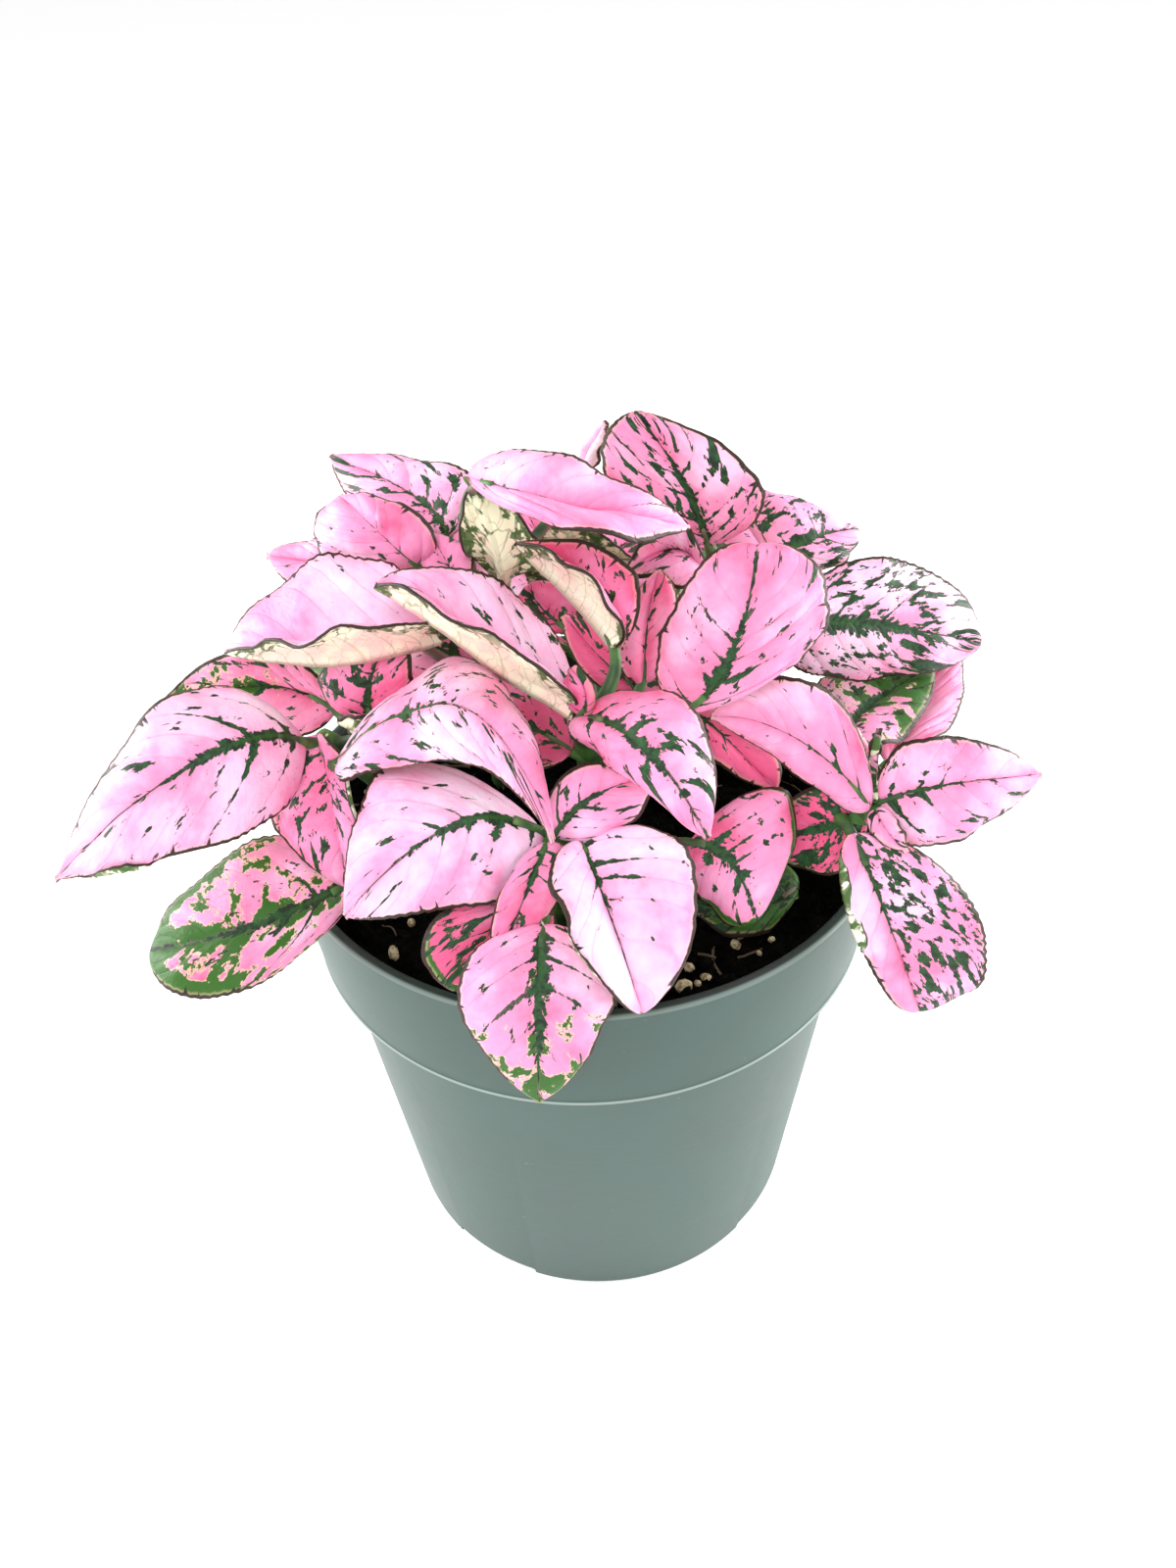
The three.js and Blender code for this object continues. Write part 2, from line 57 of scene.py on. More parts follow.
# Driving sizes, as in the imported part

POT_HEIGHT = 48.8
RIM_RADIUS = 27.5
COLLAR_HEIGHT = 11.9
COLLAR_FOOT = POT_HEIGHT - COLLAR_HEIGHT
COLLAR_FOOT_RADIUS = 26.2
BODY_TOP_RADIUS = 24.8
BASE_RADIUS = 20.75
WALL = 1.1
FLOOR = 2.2
CHANNEL_ANGLES = (-124, -34, 56, 146)
CHANNEL_WIDTH = 9.6
CHANNEL_HEIGHT = 1.1
CHANNEL_INNER_RADIUS = 9
HOLE_RADIUS = 2.6
HOLE_DISTANCE = 13.5
SOIL_TOP = 44.5
STEM_RADIUS = 1.25
STEM_FOOT = 40
STALK_RADIUS = 0.62
WIDEST = 0.42
BASE_ROUND = 0.45

# Finer detail of a leaf; the radius of a fold is a share of the half-width

SIDE_VEINS = 6.5
TEETH = 21
FOLD_RADIUS = 0.07
LEAST_AT_BASE = 0.5
LEAST_AT_TIP = 0.3
BLADE_THICKNESS = 0.42
RIDGE = 0.42
GROOVE = 0.16
BOW = 0.6
WAVE = 0.3
RIPPLE = 0.12
PUCKER = 0.19
SWELL = 0.2


# Shape helpers

def smooth(x, low, high):
    """0 below low, 1 above high, and an S-curve between them."""
    share = np.clip((x - low) / (high - low), 0, 1)
    return share * share * (3 - 2 * share)


def unit(vectors):
    """The same directions with length 1."""
    return vectors / np.maximum(np.linalg.norm(vectors, axis=-1, keepdims=True), 1e-9)


def stacked(*values):
    """Arrays and numbers as the components of one array."""
    return np.stack(np.broadcast_arrays(*values), -1)


def ripples(points, wavelength, seed, waves=9):
    """Gentle bumps between about -1 and 1: a sum of sine waves that run in random directions."""
    draw = np.random.default_rng(seed)
    ways = unit(draw.normal(size=(waves, 3)))
    lengths = wavelength * draw.uniform(0.6, 1.6, waves)
    phases = draw.uniform(0, 2 * np.pi, waves)
    turns = points @ ways.T * (2 * np.pi / lengths) + phases
    return np.sin(turns).sum(axis=-1) / math.sqrt(waves)


class Skin:
    """Grids of points that become one closed mesh: each grid is rows x columns x 3, in millimetres."""

    def __init__(self):
        self.points = []
        self.faces = []
        self.paints = []
        self.marks = {}
        self.count = 0

    def grid(self, points, paint=0, **marks):
        """Adds a grid whose last column joins its first one, and whose normals point to the left of
        its rows. paint is the finish's number, one for all or one a column, and marks are values for
        each point, kept as attributes."""
        rows, columns = points.shape[:2]
        index = self.count + np.arange(rows * columns).reshape(rows, columns)
        index = np.hstack([index, index[:, :1]])
        a, b, c, d = index[:-1, :-1], index[:-1, 1:], index[1:, 1:], index[1:, :-1]
        for corners in ((a, b, c), (a, c, d)):
            self.faces.append(stacked(*corners).reshape(-1, 3))
            self.paints.append(np.broadcast_to(paint, a.shape).ravel())
        self.add_points(points.reshape(-1, 3), marks)

    def lumps(self, points, faces):
        """Adds copies of one small shape: points is copies x corners x 3, faces its triangles."""
        copies, corners = points.shape[:2]
        first = self.count + np.arange(copies)[:, None, None] * corners
        self.faces.append((faces[None] + first).reshape(-1, 3))
        self.paints.append(np.zeros(copies * len(faces), int))
        self.add_points(points.reshape(-1, 3), {})

    def add_points(self, points, marks):
        """Keeps the points and their marks, in step with the count."""
        for name, values in marks.items():
            self.marks.setdefault(name, []).append(values.reshape(-1, 3))
        self.points.append(points)
        self.count += len(points)

    def build(self, name, finishes, stands_for=()):
        """Joins points that coincide, drops the faces that this empties, makes the object, puts it
        on the one body and hides the nodes that it stands for."""
        points = np.vstack(self.points)
        faces = np.vstack(self.faces)
        paints = np.concatenate(self.paints)
        _, first, same = np.unique(np.round(points, 5), axis=0, return_index=True, return_inverse=True)
        faces = same.ravel()[faces]
        whole = (faces != np.roll(faces, 1, axis=1)).all(axis=1)
        faces = faces[whole]
        mesh = bpy.data.meshes.new(name)
        mesh.vertices.add(len(first))
        mesh.vertices.foreach_set("co", (points[first] * MM).ravel())
        mesh.loops.add(faces.size)
        mesh.loops.foreach_set("vertex_index", faces.ravel())
        mesh.polygons.add(len(faces))
        mesh.polygons.foreach_set("loop_start", np.arange(len(faces)) * 3)
        mesh.polygons.foreach_set("material_index", paints[whole])
        mesh.update(calc_edges=True)
        mesh.shade_smooth()
        for mark, values in self.marks.items():
            attribute = mesh.attributes.new(mark, "FLOAT_VECTOR", "POINT")
            attribute.data.foreach_set("vector", np.vstack(values)[first].ravel())
        mesh.validate()
        for finish in finishes:
            mesh.materials.append(finish)
        piece = bpy.data.objects.new(name, mesh)
        bpy.context.scene.collection.objects.link(piece)
        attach(piece, "root")
        if stands_for:
            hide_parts(*stands_for)
        return piece


# Materials

class Level:
    """A number, colour or vector inside a material: arithmetic on it adds Math nodes."""

    def __init__(self, finish, socket):
        self.finish = finish
        self.socket = socket

    def math(self, operation, *others):
        return self.finish.add("Math", {"operation": operation}, dict(enumerate((self, *others))))

    def __rsub__(self, other):
        return self.finish.add("Math", {"operation": "SUBTRACT"}, {0: other, 1: self})

    __add__ = __radd__ = partialmethod(math, "ADD")
    __sub__ = partialmethod(math, "SUBTRACT")
    __mul__ = __rmul__ = partialmethod(math, "MULTIPLY")
    __truediv__ = partialmethod(math, "DIVIDE")
    size = partialmethod(math, "ABSOLUTE")
    fraction = partialmethod(math, "FRACT")
    power = partialmethod(math, "POWER")
    most = partialmethod(math, "MAXIMUM")
    least = partialmethod(math, "MINIMUM")

    def within(self, low, high):
        """0 at low, 1 at high, with an S-curve between them; low may be the larger one."""
        inputs = {0: self, 1: low, 2: high}
        return self.finish.add("MapRange", {"interpolation_type": "SMOOTHSTEP"}, inputs, "Result")

    def parts(self):
        """The three numbers of a vector."""
        first = self.finish.add("SeparateXYZ", {}, {0: self}, "X")
        return first, *(Level(self.finish, first.socket.node.outputs[axis]) for axis in "YZ")


class Finish:
    """One material with a Principled shader, and the methods that add its other nodes."""

    def __init__(self, name, **constants):
        self.material = bpy.data.materials.new(name)
        self.material.use_nodes = True
        self.nodes = self.material.node_tree.nodes
        self.links = self.material.node_tree.links
        self.shader = self.nodes["Principled BSDF"]
        for label, value in constants.items():
            self.shader.inputs[label.replace("_", " ")].default_value = value

    def add(self, kind, settings, inputs, output=0):
        """Adds a node of that kind: its settings, and then its sockets' values, colours or links."""
        node = self.nodes.new("ShaderNode" + kind)
        for label, value in settings.items():
            setattr(node, label, value)
        for label, value in inputs.items():
            if isinstance(value, Level):
                self.links.new(value.socket, node.inputs[label])
            else:
                node.inputs[label].default_value = colour(value) if isinstance(value, str) else value
        return Level(self, node.outputs[output])

    def place(self):
        """Object coordinates, in metres."""
        return self.add("TexCoord", {}, {}, "Object")

    def attribute(self, name):
        return self.add("Attribute", {"attribute_name": name}, {}, "Vector")

    def vector(self, x, y, z):
        return self.add("CombineXYZ", {}, {0: x, 1: y, 2: z})

    def noise(self, vector, scale, detail=2, roughness=0.5):
        inputs = {"Vector": vector, "Scale": scale, "Detail": detail, "Roughness": roughness}
        return self.add("TexNoise", {}, inputs)

    def cells(self, vector, scale, feature="F1"):
        inputs = {"Vector": vector, "Scale": scale}
        return self.add("TexVoronoi", {"feature": feature}, inputs, "Distance")

    def layers(self, skin, *coats):
        """Colours laid over a first one, each with a factor: 0 hides it and 1 shows it fully."""
        for factor, shade in coats:
            skin = self.add("Mix", {"data_type": "RGBA"}, {0: factor, 6: skin, 7: shade}, 2)
        return skin

    def bump(self, height, strength, distance):
        """Relief of that height, where distance is in millimetres."""
        inputs = {"Strength": strength, "Distance": distance * MM, "Height": height}
        return self.add("Bump", {}, inputs)

    def set(self, **values):
        """Links those sockets of the shader, and gives the material."""
        for label, value in values.items():
            self.links.new(value.socket, self.shader.inputs[label.replace("_", " ")])
        return self.material


def colour(text):
    """Linear red, green, blue and alpha of an sRGB colour such as "#728579"."""
    values = np.array([int(text[i:i + 2], 16) for i in (1, 3, 5)]) / 255
    linear = np.where(values <= 0.04045, values / 12.92, ((values + 0.055) / 1.055) ** 2.4)
    return (*linear.tolist(), 1)


# Colours

NEAR_WHITE = "#fdf0fb"
PALE_PINK = "#fbcbe9"
MID_PINK = "#f89ac6"
DEEP_PINK = "#ea5f8f"
VEIN_PINK = "#ea86b4"
HALO_CREAM = "#efd9a6"
LEAF_GREEN = "#35661f"
MARK_GREEN = "#27562c"
MARK_DARK = "#1a2c1b"
MARGIN_DARK = "#33261f"
UNDER_CREAM = "#fffbdd"
UNDER_PEACH = "#ffd9cc"
UNDER_VEIN = "#75833a"
UNDER_GREEN = "#4a6a34"
STEM_GREEN = "#4d7a38"
STEM_DARK = "#2c4a26"
STEM_PINK = "#b9718a"
POT_DARK = "#2f4942"
POT_LIGHT = "#35524a"
POT_DUST = "#a3afa9"
# Painted highlight for the rim's outer edge and the collar's foot
POT_EDGE_HIGHLIGHT = "#b4c0ba"
# Painted shade for the inside of the pot and the inner part of its rim
POT_INSIDE_SHADE = "#22302c"
# Soil colours darker than the mix itself: they paint in the shade under the leaves
SOIL_BLACK = "#020202"
SOIL_BROWN = "#0a0907"
SOIL_PEAT = "#17110d"
FIBRE_DARK = "#3a2b20"
FIBRE_PALE = "#6b5a45"
PERLITE_CREAM = "#d9c9a6"
PERLITE_PIT = "#8c7452"

# Perlite grains that show beside the front leaves: x, y and radius

PERLITE_SHOWN = (
    (7.3, -20.9, 0.65), (7.9, -19, 0.55), (9.3, -19.6, 0.5), (12.1, -16.3, 0.55),
    (15.2, -15.9, 0.45), (8.5, -20.3, 0.3), (10.4, -21.6, 0.2), (14, -17.2, 0.25),
    (12.6, -15.6, 0.35),
)


# Finishes of the plant. At a leaf's points, leaf_share is the share of the way along, the distance
# from the margin, and the place among the side veins, a whole number half-way between two of them.
# leaf_flat is the distance from the midrib and along it, and the leaf's own number. leaf_marks and
# leaf_tone are its look.

def leaf_upper_finish():
    """Pink leaf skin with a green midrib band, dark marks along the veins, green blotches on older
    leaves, and a thin dark margin with small teeth."""
    finish = Finish("leaf_upper", Roughness=0.5, Subsurface_Weight=0.3, Subsurface_Scale=0.7 * MM,
                    Subsurface_Radius=(1, 0.35, 0.45), Specular_IOR_Level=0.3)
    along, rim, order = finish.attribute("leaf_share").parts()
    flat = finish.attribute("leaf_flat")
    middle, reach, seed = flat.parts()
    vein = (order.fraction() - 0.5).size()
    side = middle.math("SIGN")
    band, speckles, blotches = finish.attribute("leaf_marks").parts()
    blush, green_edge, lead = finish.attribute("leaf_tone").parts()
    distance = middle.size()

    fine = finish.noise(flat, 1.7, 3, 0.6)
    cloud = finish.noise(flat, 0.11, 1)
    patchy = finish.noise(flat, 0.42)
    ink_place = finish.vector(lead, middle * 1.3, seed)
    ink = finish.noise(ink_place, 0.72, 4, 0.6)

    # A leaf's deeper pink on the inner, under and low leaves paints in the shade they sit in
    tone = blush + 0.12 + (cloud - 0.5) * 1.7 + (patchy - 0.5) * 0.9 + (fine - 0.5) * 0.3
    tone = tone + distance.within(2.5, 0) * 0.14 + rim.within(1.6, 0) * 0.16
    # Painted shade: darker pink along the side veins and the midrib
    painted_vein_shade = vein.within(0.1, 0) * 0.22 + distance.within(0.6, 0) * 0.35
    pink = finish.layers(
        NEAR_WHITE, (tone.within(-0.35, 0.2), PALE_PINK), (tone.within(0.1, 0.65), MID_PINK),
        (tone.within(0.6, 1.2), DEEP_PINK), (painted_vein_shade, VEIN_PINK),
    )

    vein_number = finish.vector(order.math("FLOOR"), side, seed.math("ROUND"))
    draw = finish.add("TexWhiteNoise", {}, {0: vein_number}, "Value")
    fade = along.within(0, 0.12) * (along - band * 0.3).within(0.5, 0.12)
    half_width = band * (0.05 + 0.42 * fade)
    ragged = distance + (ink - 0.5) * 1.8 * band + (fine - 0.5) * 0.9 * band
    midrib = (ragged - half_width).within(0.05, -0.04)
    branch_length = band * fade * (0.6 + 6.5 * draw * draw) + 0.05
    branch = (ink * 0.8 + fine * 0.2 - vein * 1.2 - distance / branch_length * 0.2).within(0.31, 0.35)
    marks_limit = 0.71 - speckles.power(0.6) * 0.17
    marks = (ink + vein.within(0.3, 0) * 0.05).within(marks_limit, marks_limit + 0.02)
    specks = (fine + (ink - 0.5) * 0.5).within(marks_limit + 0.1, marks_limit + 0.13)
    dots = distance.within(0.16, 0.08) * (ink.within(0.46, 0.5) * 0.75 + 0.2)
    dots = dots * along.within(1, 0.85) * band
    dark = midrib.most(branch * band.within(0, 0.3)).most(marks).most(dots)

    patch = finish.noise(flat, 0.62, 4, 0.6) + distance.within(2, 0) * 0.16
    patch = patch + (along - 0.5) * 0.2
    tip_side = along.within(0.2, 0.9) * 0.75 + 0.25
    patch = patch + rim.within(2, 0) * green_edge * tip_side * 0.4
    level = 0.95 - blotches * 0.42
    halo = (patch - level).within(-0.05, -0.01)
    leafy = (patch - level).within(-0.01, 0.015)
    edge_reach = green_edge * tip_side * 0.7 - (ink - 0.5) * 0.9
    edge = (rim - edge_reach).within(0.1, -0.05) * green_edge.within(0, 0.1)

    comb = finish.noise(finish.vector(reach, rim * 0.1, seed + side * 5), 1.6)
    tooth_length = (distance + rim).least(4) * 0.3
    line = 0.05 + (distance + rim).within(0.3, 3) * 0.24 + (fine - 0.5) * 0.22
    tooth = (comb - rim * 0.16).within(0.54, 0.58) * (rim / tooth_length).within(1.1, 0.5)
    margin = (rim - line).within(0.06, -0.04).most(tooth)

    cream_rim = (rim - line).within(0.3, 0.05) * 0.3
    core = distance.within(0.22, 0.1) * along.within(0.6, 0.1) * 0.55
    inked = finish.layers(MARK_DARK, (fine.within(0.35, 0.65), MARK_GREEN), (core, LEAF_GREEN))
    skin = finish.layers(
        pink, (halo * 0.6, HALO_CREAM), (leafy, LEAF_GREEN), (edge, LEAF_GREEN),
        (cream_rim, HALO_CREAM), (dark.within(0.02, 0.5) * 0.45, VEIN_PINK), (specks, MARGIN_DARK),
        (dark, inked), (margin, MARGIN_DARK),
    )

    pores = finish.cells(flat, 2.6)
    relief = finish.noise(flat, 2.4, 3, 0.6) + pores * 0.4 + vein.within(0.09, 0) * -0.6
    rough = 0.4 + fine * 0.2
    return finish.set(Base_Color=skin, Roughness=rough, Normal=finish.bump(relief, 0.45, 0.12))


def leaf_under_finish():
    """Cream to peach underside with an olive net of veins and a green rim."""
    finish = Finish("leaf_under", Roughness=0.6, Subsurface_Weight=0.3, Subsurface_Scale=0.7 * MM,
                    Subsurface_Radius=(1, 0.6, 0.35), Specular_IOR_Level=0.3)
    rim, order = finish.attribute("leaf_share").parts()[1:]
    flat = finish.attribute("leaf_flat")
    middle, reach, seed = flat.parts()
    vein = (order.fraction() - 0.5).size()
    distance = middle.size()
    coarse = finish.noise(flat, 0.3)
    fine = finish.noise(flat, 1.3)
    wobble = finish.noise(flat, 1.1) * 0.9
    net_place = finish.vector(middle + wobble, reach - wobble, seed)
    net = finish.cells(net_place, 0.75, "DISTANCE_TO_EDGE")
    inner = coarse.within(0.4, 0.62) * rim.within(0.8, 2.4)
    lines = vein.within(0.05, 0.02).most(distance.within(0.24, 0.12)) * (0.1 + coarse * 0.35)
    green = rim.within(4.5, 0.5) * (coarse + fine * 0.5).within(0.47, 0.86)
    net_lines = (net - green * 0.13).within(0.05, 0) * (green * 0.75 + 0.25)
    blot = (fine + green * 0.5 - net * 0.5).within(0.72, 0.8)
    skin = finish.layers(
        UNDER_CREAM, (inner * 0.8, UNDER_PEACH), (lines, UNDER_VEIN), (net_lines, UNDER_GREEN),
        (blot * 0.9, UNDER_GREEN), (rim.within(0.14, 0.06), MARGIN_DARK),
    )
    relief = lines + finish.noise(flat, 2.4) * 0.3
    return finish.set(Base_Color=skin, Normal=finish.bump(relief, 0.5, 0.12))


def stem_finish():
    """Green stem skin with darker streaks and dull pink blotches."""
    finish = Finish("stem_skin", Roughness=0.5, Subsurface_Weight=0.15, Subsurface_Scale=0.5 * MM)
    place = finish.place()
    streaks = finish.noise(place, 420, 3)
    blotchy = finish.noise(place, 160)
    skin = finish.layers(
        STEM_DARK, (streaks.within(0.35, 0.65), STEM_GREEN),
        (blotchy.within(0.55, 0.7) * 0.6, STEM_PINK),
    )
    return finish.set(Base_Color=skin, Normal=finish.bump(streaks, 0.4, 0.2))


# Leaves

# A leaf: where it joins its stalk, the middle of its midrib, its tip, and the widest points of its
# left and right edges, seen from above with the tip ahead. blush is how deep its pink is, and it
# is set deeper on the inner, under and low leaves to paint in the shade they sit in. band is how
# broad the marks at its midrib are, bias keeps the specks to one half, puff makes puckers, and
# taper is low for a blunt tip. roll is a margin that turns over: its side, where it starts and
# ends, its share of the half-width and its angle.

Leaf = namedtuple(
    "Leaf", "base middle tip left right blush band speckles blotches green_edge bias roll puff taper",
    defaults=(0, 0, 0, None, 1, 0.8))


def bezier(corners, shares):
    """Points of the Bezier curve with those corners, by repeated lines between neighbours."""
    points = [np.array(corner, float)[None] for corner in corners]
    shares = np.asarray(shares, float)[:, None]
    while len(points) > 1:
        points = [a + (b - a) * shares for a, b in zip(points[:-1], points[1:])]
    return points[0]


def midrib_corners(shape):
    """The midrib is a quadratic curve from base to tip that passes through the middle point."""
    base, middle, tip = (np.array(place, float) for place in (shape.base, shape.middle, shape.tip))
    return base, 2 * middle - (base + tip) / 2, tip


def outline_at(t, taper):
    """The share of its full half-width that a leaf has at share t of its length: it grows as a power
    of t, shrinks as a power of 1 - t, and is 1 at its widest."""
    peak = BASE_ROUND / (BASE_ROUND + taper)
    return (t / peak) ** BASE_ROUND * ((1 - t) / (1 - peak)) ** taper


def leaf_surface(shape, rows, half_columns, seed):
    """The blade's middle surface. Each row springs from a point of the midrib; its two halves run
    straight towards the widest points of the edges, bow up a little, wave at the margin and puff
    up between the side veins. A rolled margin goes on past the edge, folds over and ends in a flap."""
    t = (1 - np.cos(np.linspace(0.04, 1, rows + 1) * np.pi)) / 2
    t[0] = 0
    down = t[:, None]
    corners = midrib_corners(shape)
    centre = bezier(corners, t)
    ahead = unit(np.gradient(centre, axis=0))
    widest = bezier(corners, [WIDEST])[0]
    grow = np.clip(outline_at(t, shape.taper), 0, None)
    grow = grow * (1 + 0.012 * np.sin(2 * np.pi * TEETH * t + seed))
    span = np.linspace(0, 1, half_columns + 1)[None, :]
    length = np.linalg.norm(np.diff(centre, axis=0), axis=1).sum()
    uneven = shape.puff * min(1, length / 16)
    tip_fade = smooth(down, 1, 0.8)
    fullness = np.sin(np.pi * span ** 0.8) * smooth(down, 0.02, 0.25) * tip_fade
    halves = []
    normals = []
    for side, place, phase in ((-1, shape.left, 1.3), (1, shape.right, 0)):
        edge = np.array(place, float) - widest
        half_width = np.linalg.norm(edge)
        least = LEAST_AT_BASE + (LEAST_AT_TIP - LEAST_AT_BASE) * t
        width = np.maximum(grow, least / half_width)[:, None]
        normal = unit(np.cross(edge, ahead)) * side
        normals.append(normal)
        extra, arc = rolled(shape, side, t)
        reach = span * (1 + extra)
        over = np.clip(reach - 1, 0, None)
        radius = np.minimum(extra / arc, FOLD_RADIUS)
        angle = np.minimum(over / np.maximum(radius, 1e-6), arc)
        flap = np.clip(over - radius * arc, 0, None)
        out = np.minimum(reach, 1) + radius * np.sin(angle) + flap * np.cos(arc)
        lift = (radius * (1 - np.cos(angle)) + flap * np.sin(arc)) * half_width * width
        bow = BOW * 4 * span * (1 - span)
        wave = WAVE * span ** 2 * np.sin(2 * np.pi * 2.5 * down + phase)
        ripple = np.sin(2 * np.pi * 3.9 * down + phase * 3 + seed)
        ripple = RIPPLE * uneven * span ** 3 * ripple
        order = vein_order(down, span, seed, phase)
        between = np.abs((order % 1) - 0.5)
        varied = 0.75 + 0.5 * np.sin(order * 2.1 + seed)
        puffed = PUCKER * uneven * varied * (1 - np.exp(-((between / 0.2) ** 2))) * fullness
        groove = -GROOVE * np.exp(-((span * half_width * width / 0.45) ** 2)) * tip_fade
        height = (bow + wave + ripple) * width + lift + puffed + groove
        half = centre[:, None] + edge * (out * width)[..., None] + normal[:, None] * height[..., None]
        share = side * np.broadcast_to(span, (rows + 1, half_columns + 1))
        total = half_width * width * (1 + extra)
        halves.append((half, share, share * total, (1 - span) * total, order))
    joined = [np.hstack([left[:, ::-1], right[:, 1:]]) for left, right in zip(*halves)]
    points, across, middle, rim, order = joined
    along = np.broadcast_to(down, across.shape)
    swell = SWELL * ripples(points, 8, seed) + 0.06 * uneven * ripples(points, 3.2, seed + 1)
    points = points + (swell * smooth(down, 0, 0.2))[..., None] * unit(sum(normals))[:, None]
    return points, across, along, middle, rim, order, length


def vein_order(t, span, seed, phase):
    """The number of the side vein at a place on a half: it grows along the leaf, veins bend forwards
    on their way to the margin, and their gaps are uneven."""
    order = (t - 0.2 * span - 0.12 * span ** 2) * SIDE_VEINS + 0.4 * phase * span
    return order + 0.22 * np.sin(1.7 * order + seed) + 0.06 * np.sin(5 * order + 3 * span + seed)


def rolled(shape, side, t):
    """How much wider a rolled margin makes this half at each row, and the angle that it turns."""
    if shape.roll is None or shape.roll[0] != side:
        return np.zeros((len(t), 1)), np.full((len(t), 1), 1e-3)
    start, end, share, angle = shape.roll[1:]
    fade = min(0.15, (end - start) / 2)
    window = smooth(t, start, start + fade) * smooth(t, end, end - fade)
    return share * window[:, None], np.full((len(t), 1), math.radians(angle))


def add_leaf(skin, shape, seed):
    """Wraps an upper and a lower skin round the blade's middle surface, with a rounded margin and a
    raised midrib on the underside, and closes it at base and tip."""
    reach = np.linalg.norm(np.subtract(shape.tip, shape.base))
    rows = int(np.clip(reach * 3.4, 22, 64))
    half_columns = int(np.clip(reach * 0.9, 7, 18))
    points, across, along, middle, rim, order, length = leaf_surface(shape, rows, half_columns, seed)
    across_way = np.gradient(points, axis=1)
    along_way = np.gradient(points, axis=0)
    normal = unit(np.cross(across_way, along_way))
    thick = BLADE_THICKNESS * (1 - 0.55 * np.abs(across) ** 4)[..., None] / 2
    ridge = RIDGE * np.exp(-((middle / 0.42) ** 2)) * (1 - along * 0.85)
    upper = points + normal * thick
    lower = points - normal * (thick + ridge[..., None])

    def wrap(first, second):
        ring = np.hstack([first, second[:, ::-1]])
        return np.vstack([ring[:1], ring, ring[-1:]])

    ring = wrap(upper, lower)
    ring[0] = ring[0].mean(axis=0)
    ring[-1] = ring[-1].mean(axis=0)
    columns = across.shape[1]
    paint = np.r_[np.zeros(columns), np.ones(columns - 1), 0].astype(int)
    speckles = shape.speckles * smooth(across * shape.bias, -0.12, 0)
    marks = {
        "leaf_share": stacked(along, rim, order),
        "leaf_flat": stacked(middle, along * length, seed * 17.3),
        "leaf_marks": stacked(shape.band, speckles, shape.blotches),
        "leaf_tone": stacked(shape.blush, shape.green_edge, order * length / SIDE_VEINS),
    }
    marks = {name: wrap(values, values) for name, values in marks.items()}
    skin.grid(ring, paint, **marks)


# Stems and stalks

def add_tube(skin, path, radii, sides=14):
    """Rings of points round each point of a path, closed at both ends."""
    ahead = unit(np.gradient(path, axis=0))
    side = unit(np.cross(ahead, (0.31, 0.94, 0.12)))
    up = np.cross(side, ahead)
    turn = np.linspace(0, 2 * np.pi, sides, endpoint=False)[None, :, None]
    spokes = side[:, None] * np.cos(turn) + up[:, None] * np.sin(turn)
    ring = path[:, None] + radii[:, None, None] * spokes
    ends = np.repeat(path[[0, -1]][:, None], sides, axis=1)
    ring = np.vstack([ends[:1], ring, ends[1:]])
    skin.grid(ring[:, ::-1])


def stem_corners(root, crown):
    """A stem rises from the soil, bends over and ends at its crown."""
    root = np.array((*root, SOIL_TOP))
    crown = np.array(crown, float)
    bend = root + (0, 0, 1) + (crown - root - (0, 0, 1)) * 0.45
    bend[:2] = (bend[:2] + root[:2]) / 2
    return root, bend, crown


def add_stem(skin, corners):
    """A stem from its foot in the soil to its crown, a little thicker at two joints."""
    root = corners[0]
    foot = np.array((*root[:2], STEM_FOOT))
    buried = bezier((foot, root), np.linspace(0, 1, 6)[:-1])
    path = np.vstack([buried, bezier(corners, np.linspace(0, 1, 22))])
    share = np.linspace(0, 1, len(path))
    low_joint = 0.18 * np.exp(-(((share - 0.55) / 0.04) ** 2))
    high_joint = 0.22 * np.exp(-(((share - 0.97) / 0.05) ** 2))
    radii = STEM_RADIUS * (1.04 - 0.28 * share) * (1 + low_joint + high_joint)
    add_tube(skin, path, radii)


def add_stalk(skin, stem, shape):
    """A leaf's stalk leaves the stem below the leaf and ends inside the blade, under the midrib."""
    corners = midrib_corners(shape)
    base = corners[0]
    end = bezier(corners, [0.16])[0]
    crown = stem[-1]
    reach = math.hypot(base[0] - crown[0], base[1] - crown[1])
    start_height = min(crown[2] - 0.5, base[2] - 1 - 0.4 * reach)
    share = np.clip((start_height - SOIL_TOP) / (crown[2] - SOIL_TOP), 0.12, 1)
    start = bezier(stem, [share])[0]
    ahead = unit(corners[1] - base)
    approach = base - ahead * 0.35 * np.linalg.norm(start - base)
    second = start + (approach - start) * 0.6
    third = approach + (base - approach) * 0.3
    path = bezier((start, second, third, end), np.linspace(0, 1, 18))
    share = np.linspace(0, 1, len(path))
    radii = STALK_RADIUS * (1.1 - 0.55 * share + 0.35 * np.exp(-((share / 0.08) ** 2)))
    add_tube(skin, path, radii, 10)


def leafy_stem(number, label, root, crown, **leaves):
    """One leafy stem as two pieces: its blades, and its stem with the stalks."""
    blades = Skin()
    for seed, shape in enumerate(leaves.values(), 1 + number * 20):
        add_leaf(blades, shape, seed)
    blades.build(label + "_leaves", [LEAF_UPPER, LEAF_UNDER], ["leafy_stem_" + label])
    corners = stem_corners(root, crown)
    wood = Skin()
    add_stem(wood, corners)
    for shape in leaves.values():
        add_stalk(wood, corners, shape)
    wood.build(label + "_stem", [STEM_SKIN])


# Pot

def inner_radius(height):
    """The pot's inner wall at a height: the outer wall's taper, less the wall's thickness."""
    heights = (0, COLLAR_FOOT, POT_HEIGHT)
    return np.interp(height, heights, (BASE_RADIUS, BODY_TOP_RADIUS, RIM_RADIUS)) - WALL


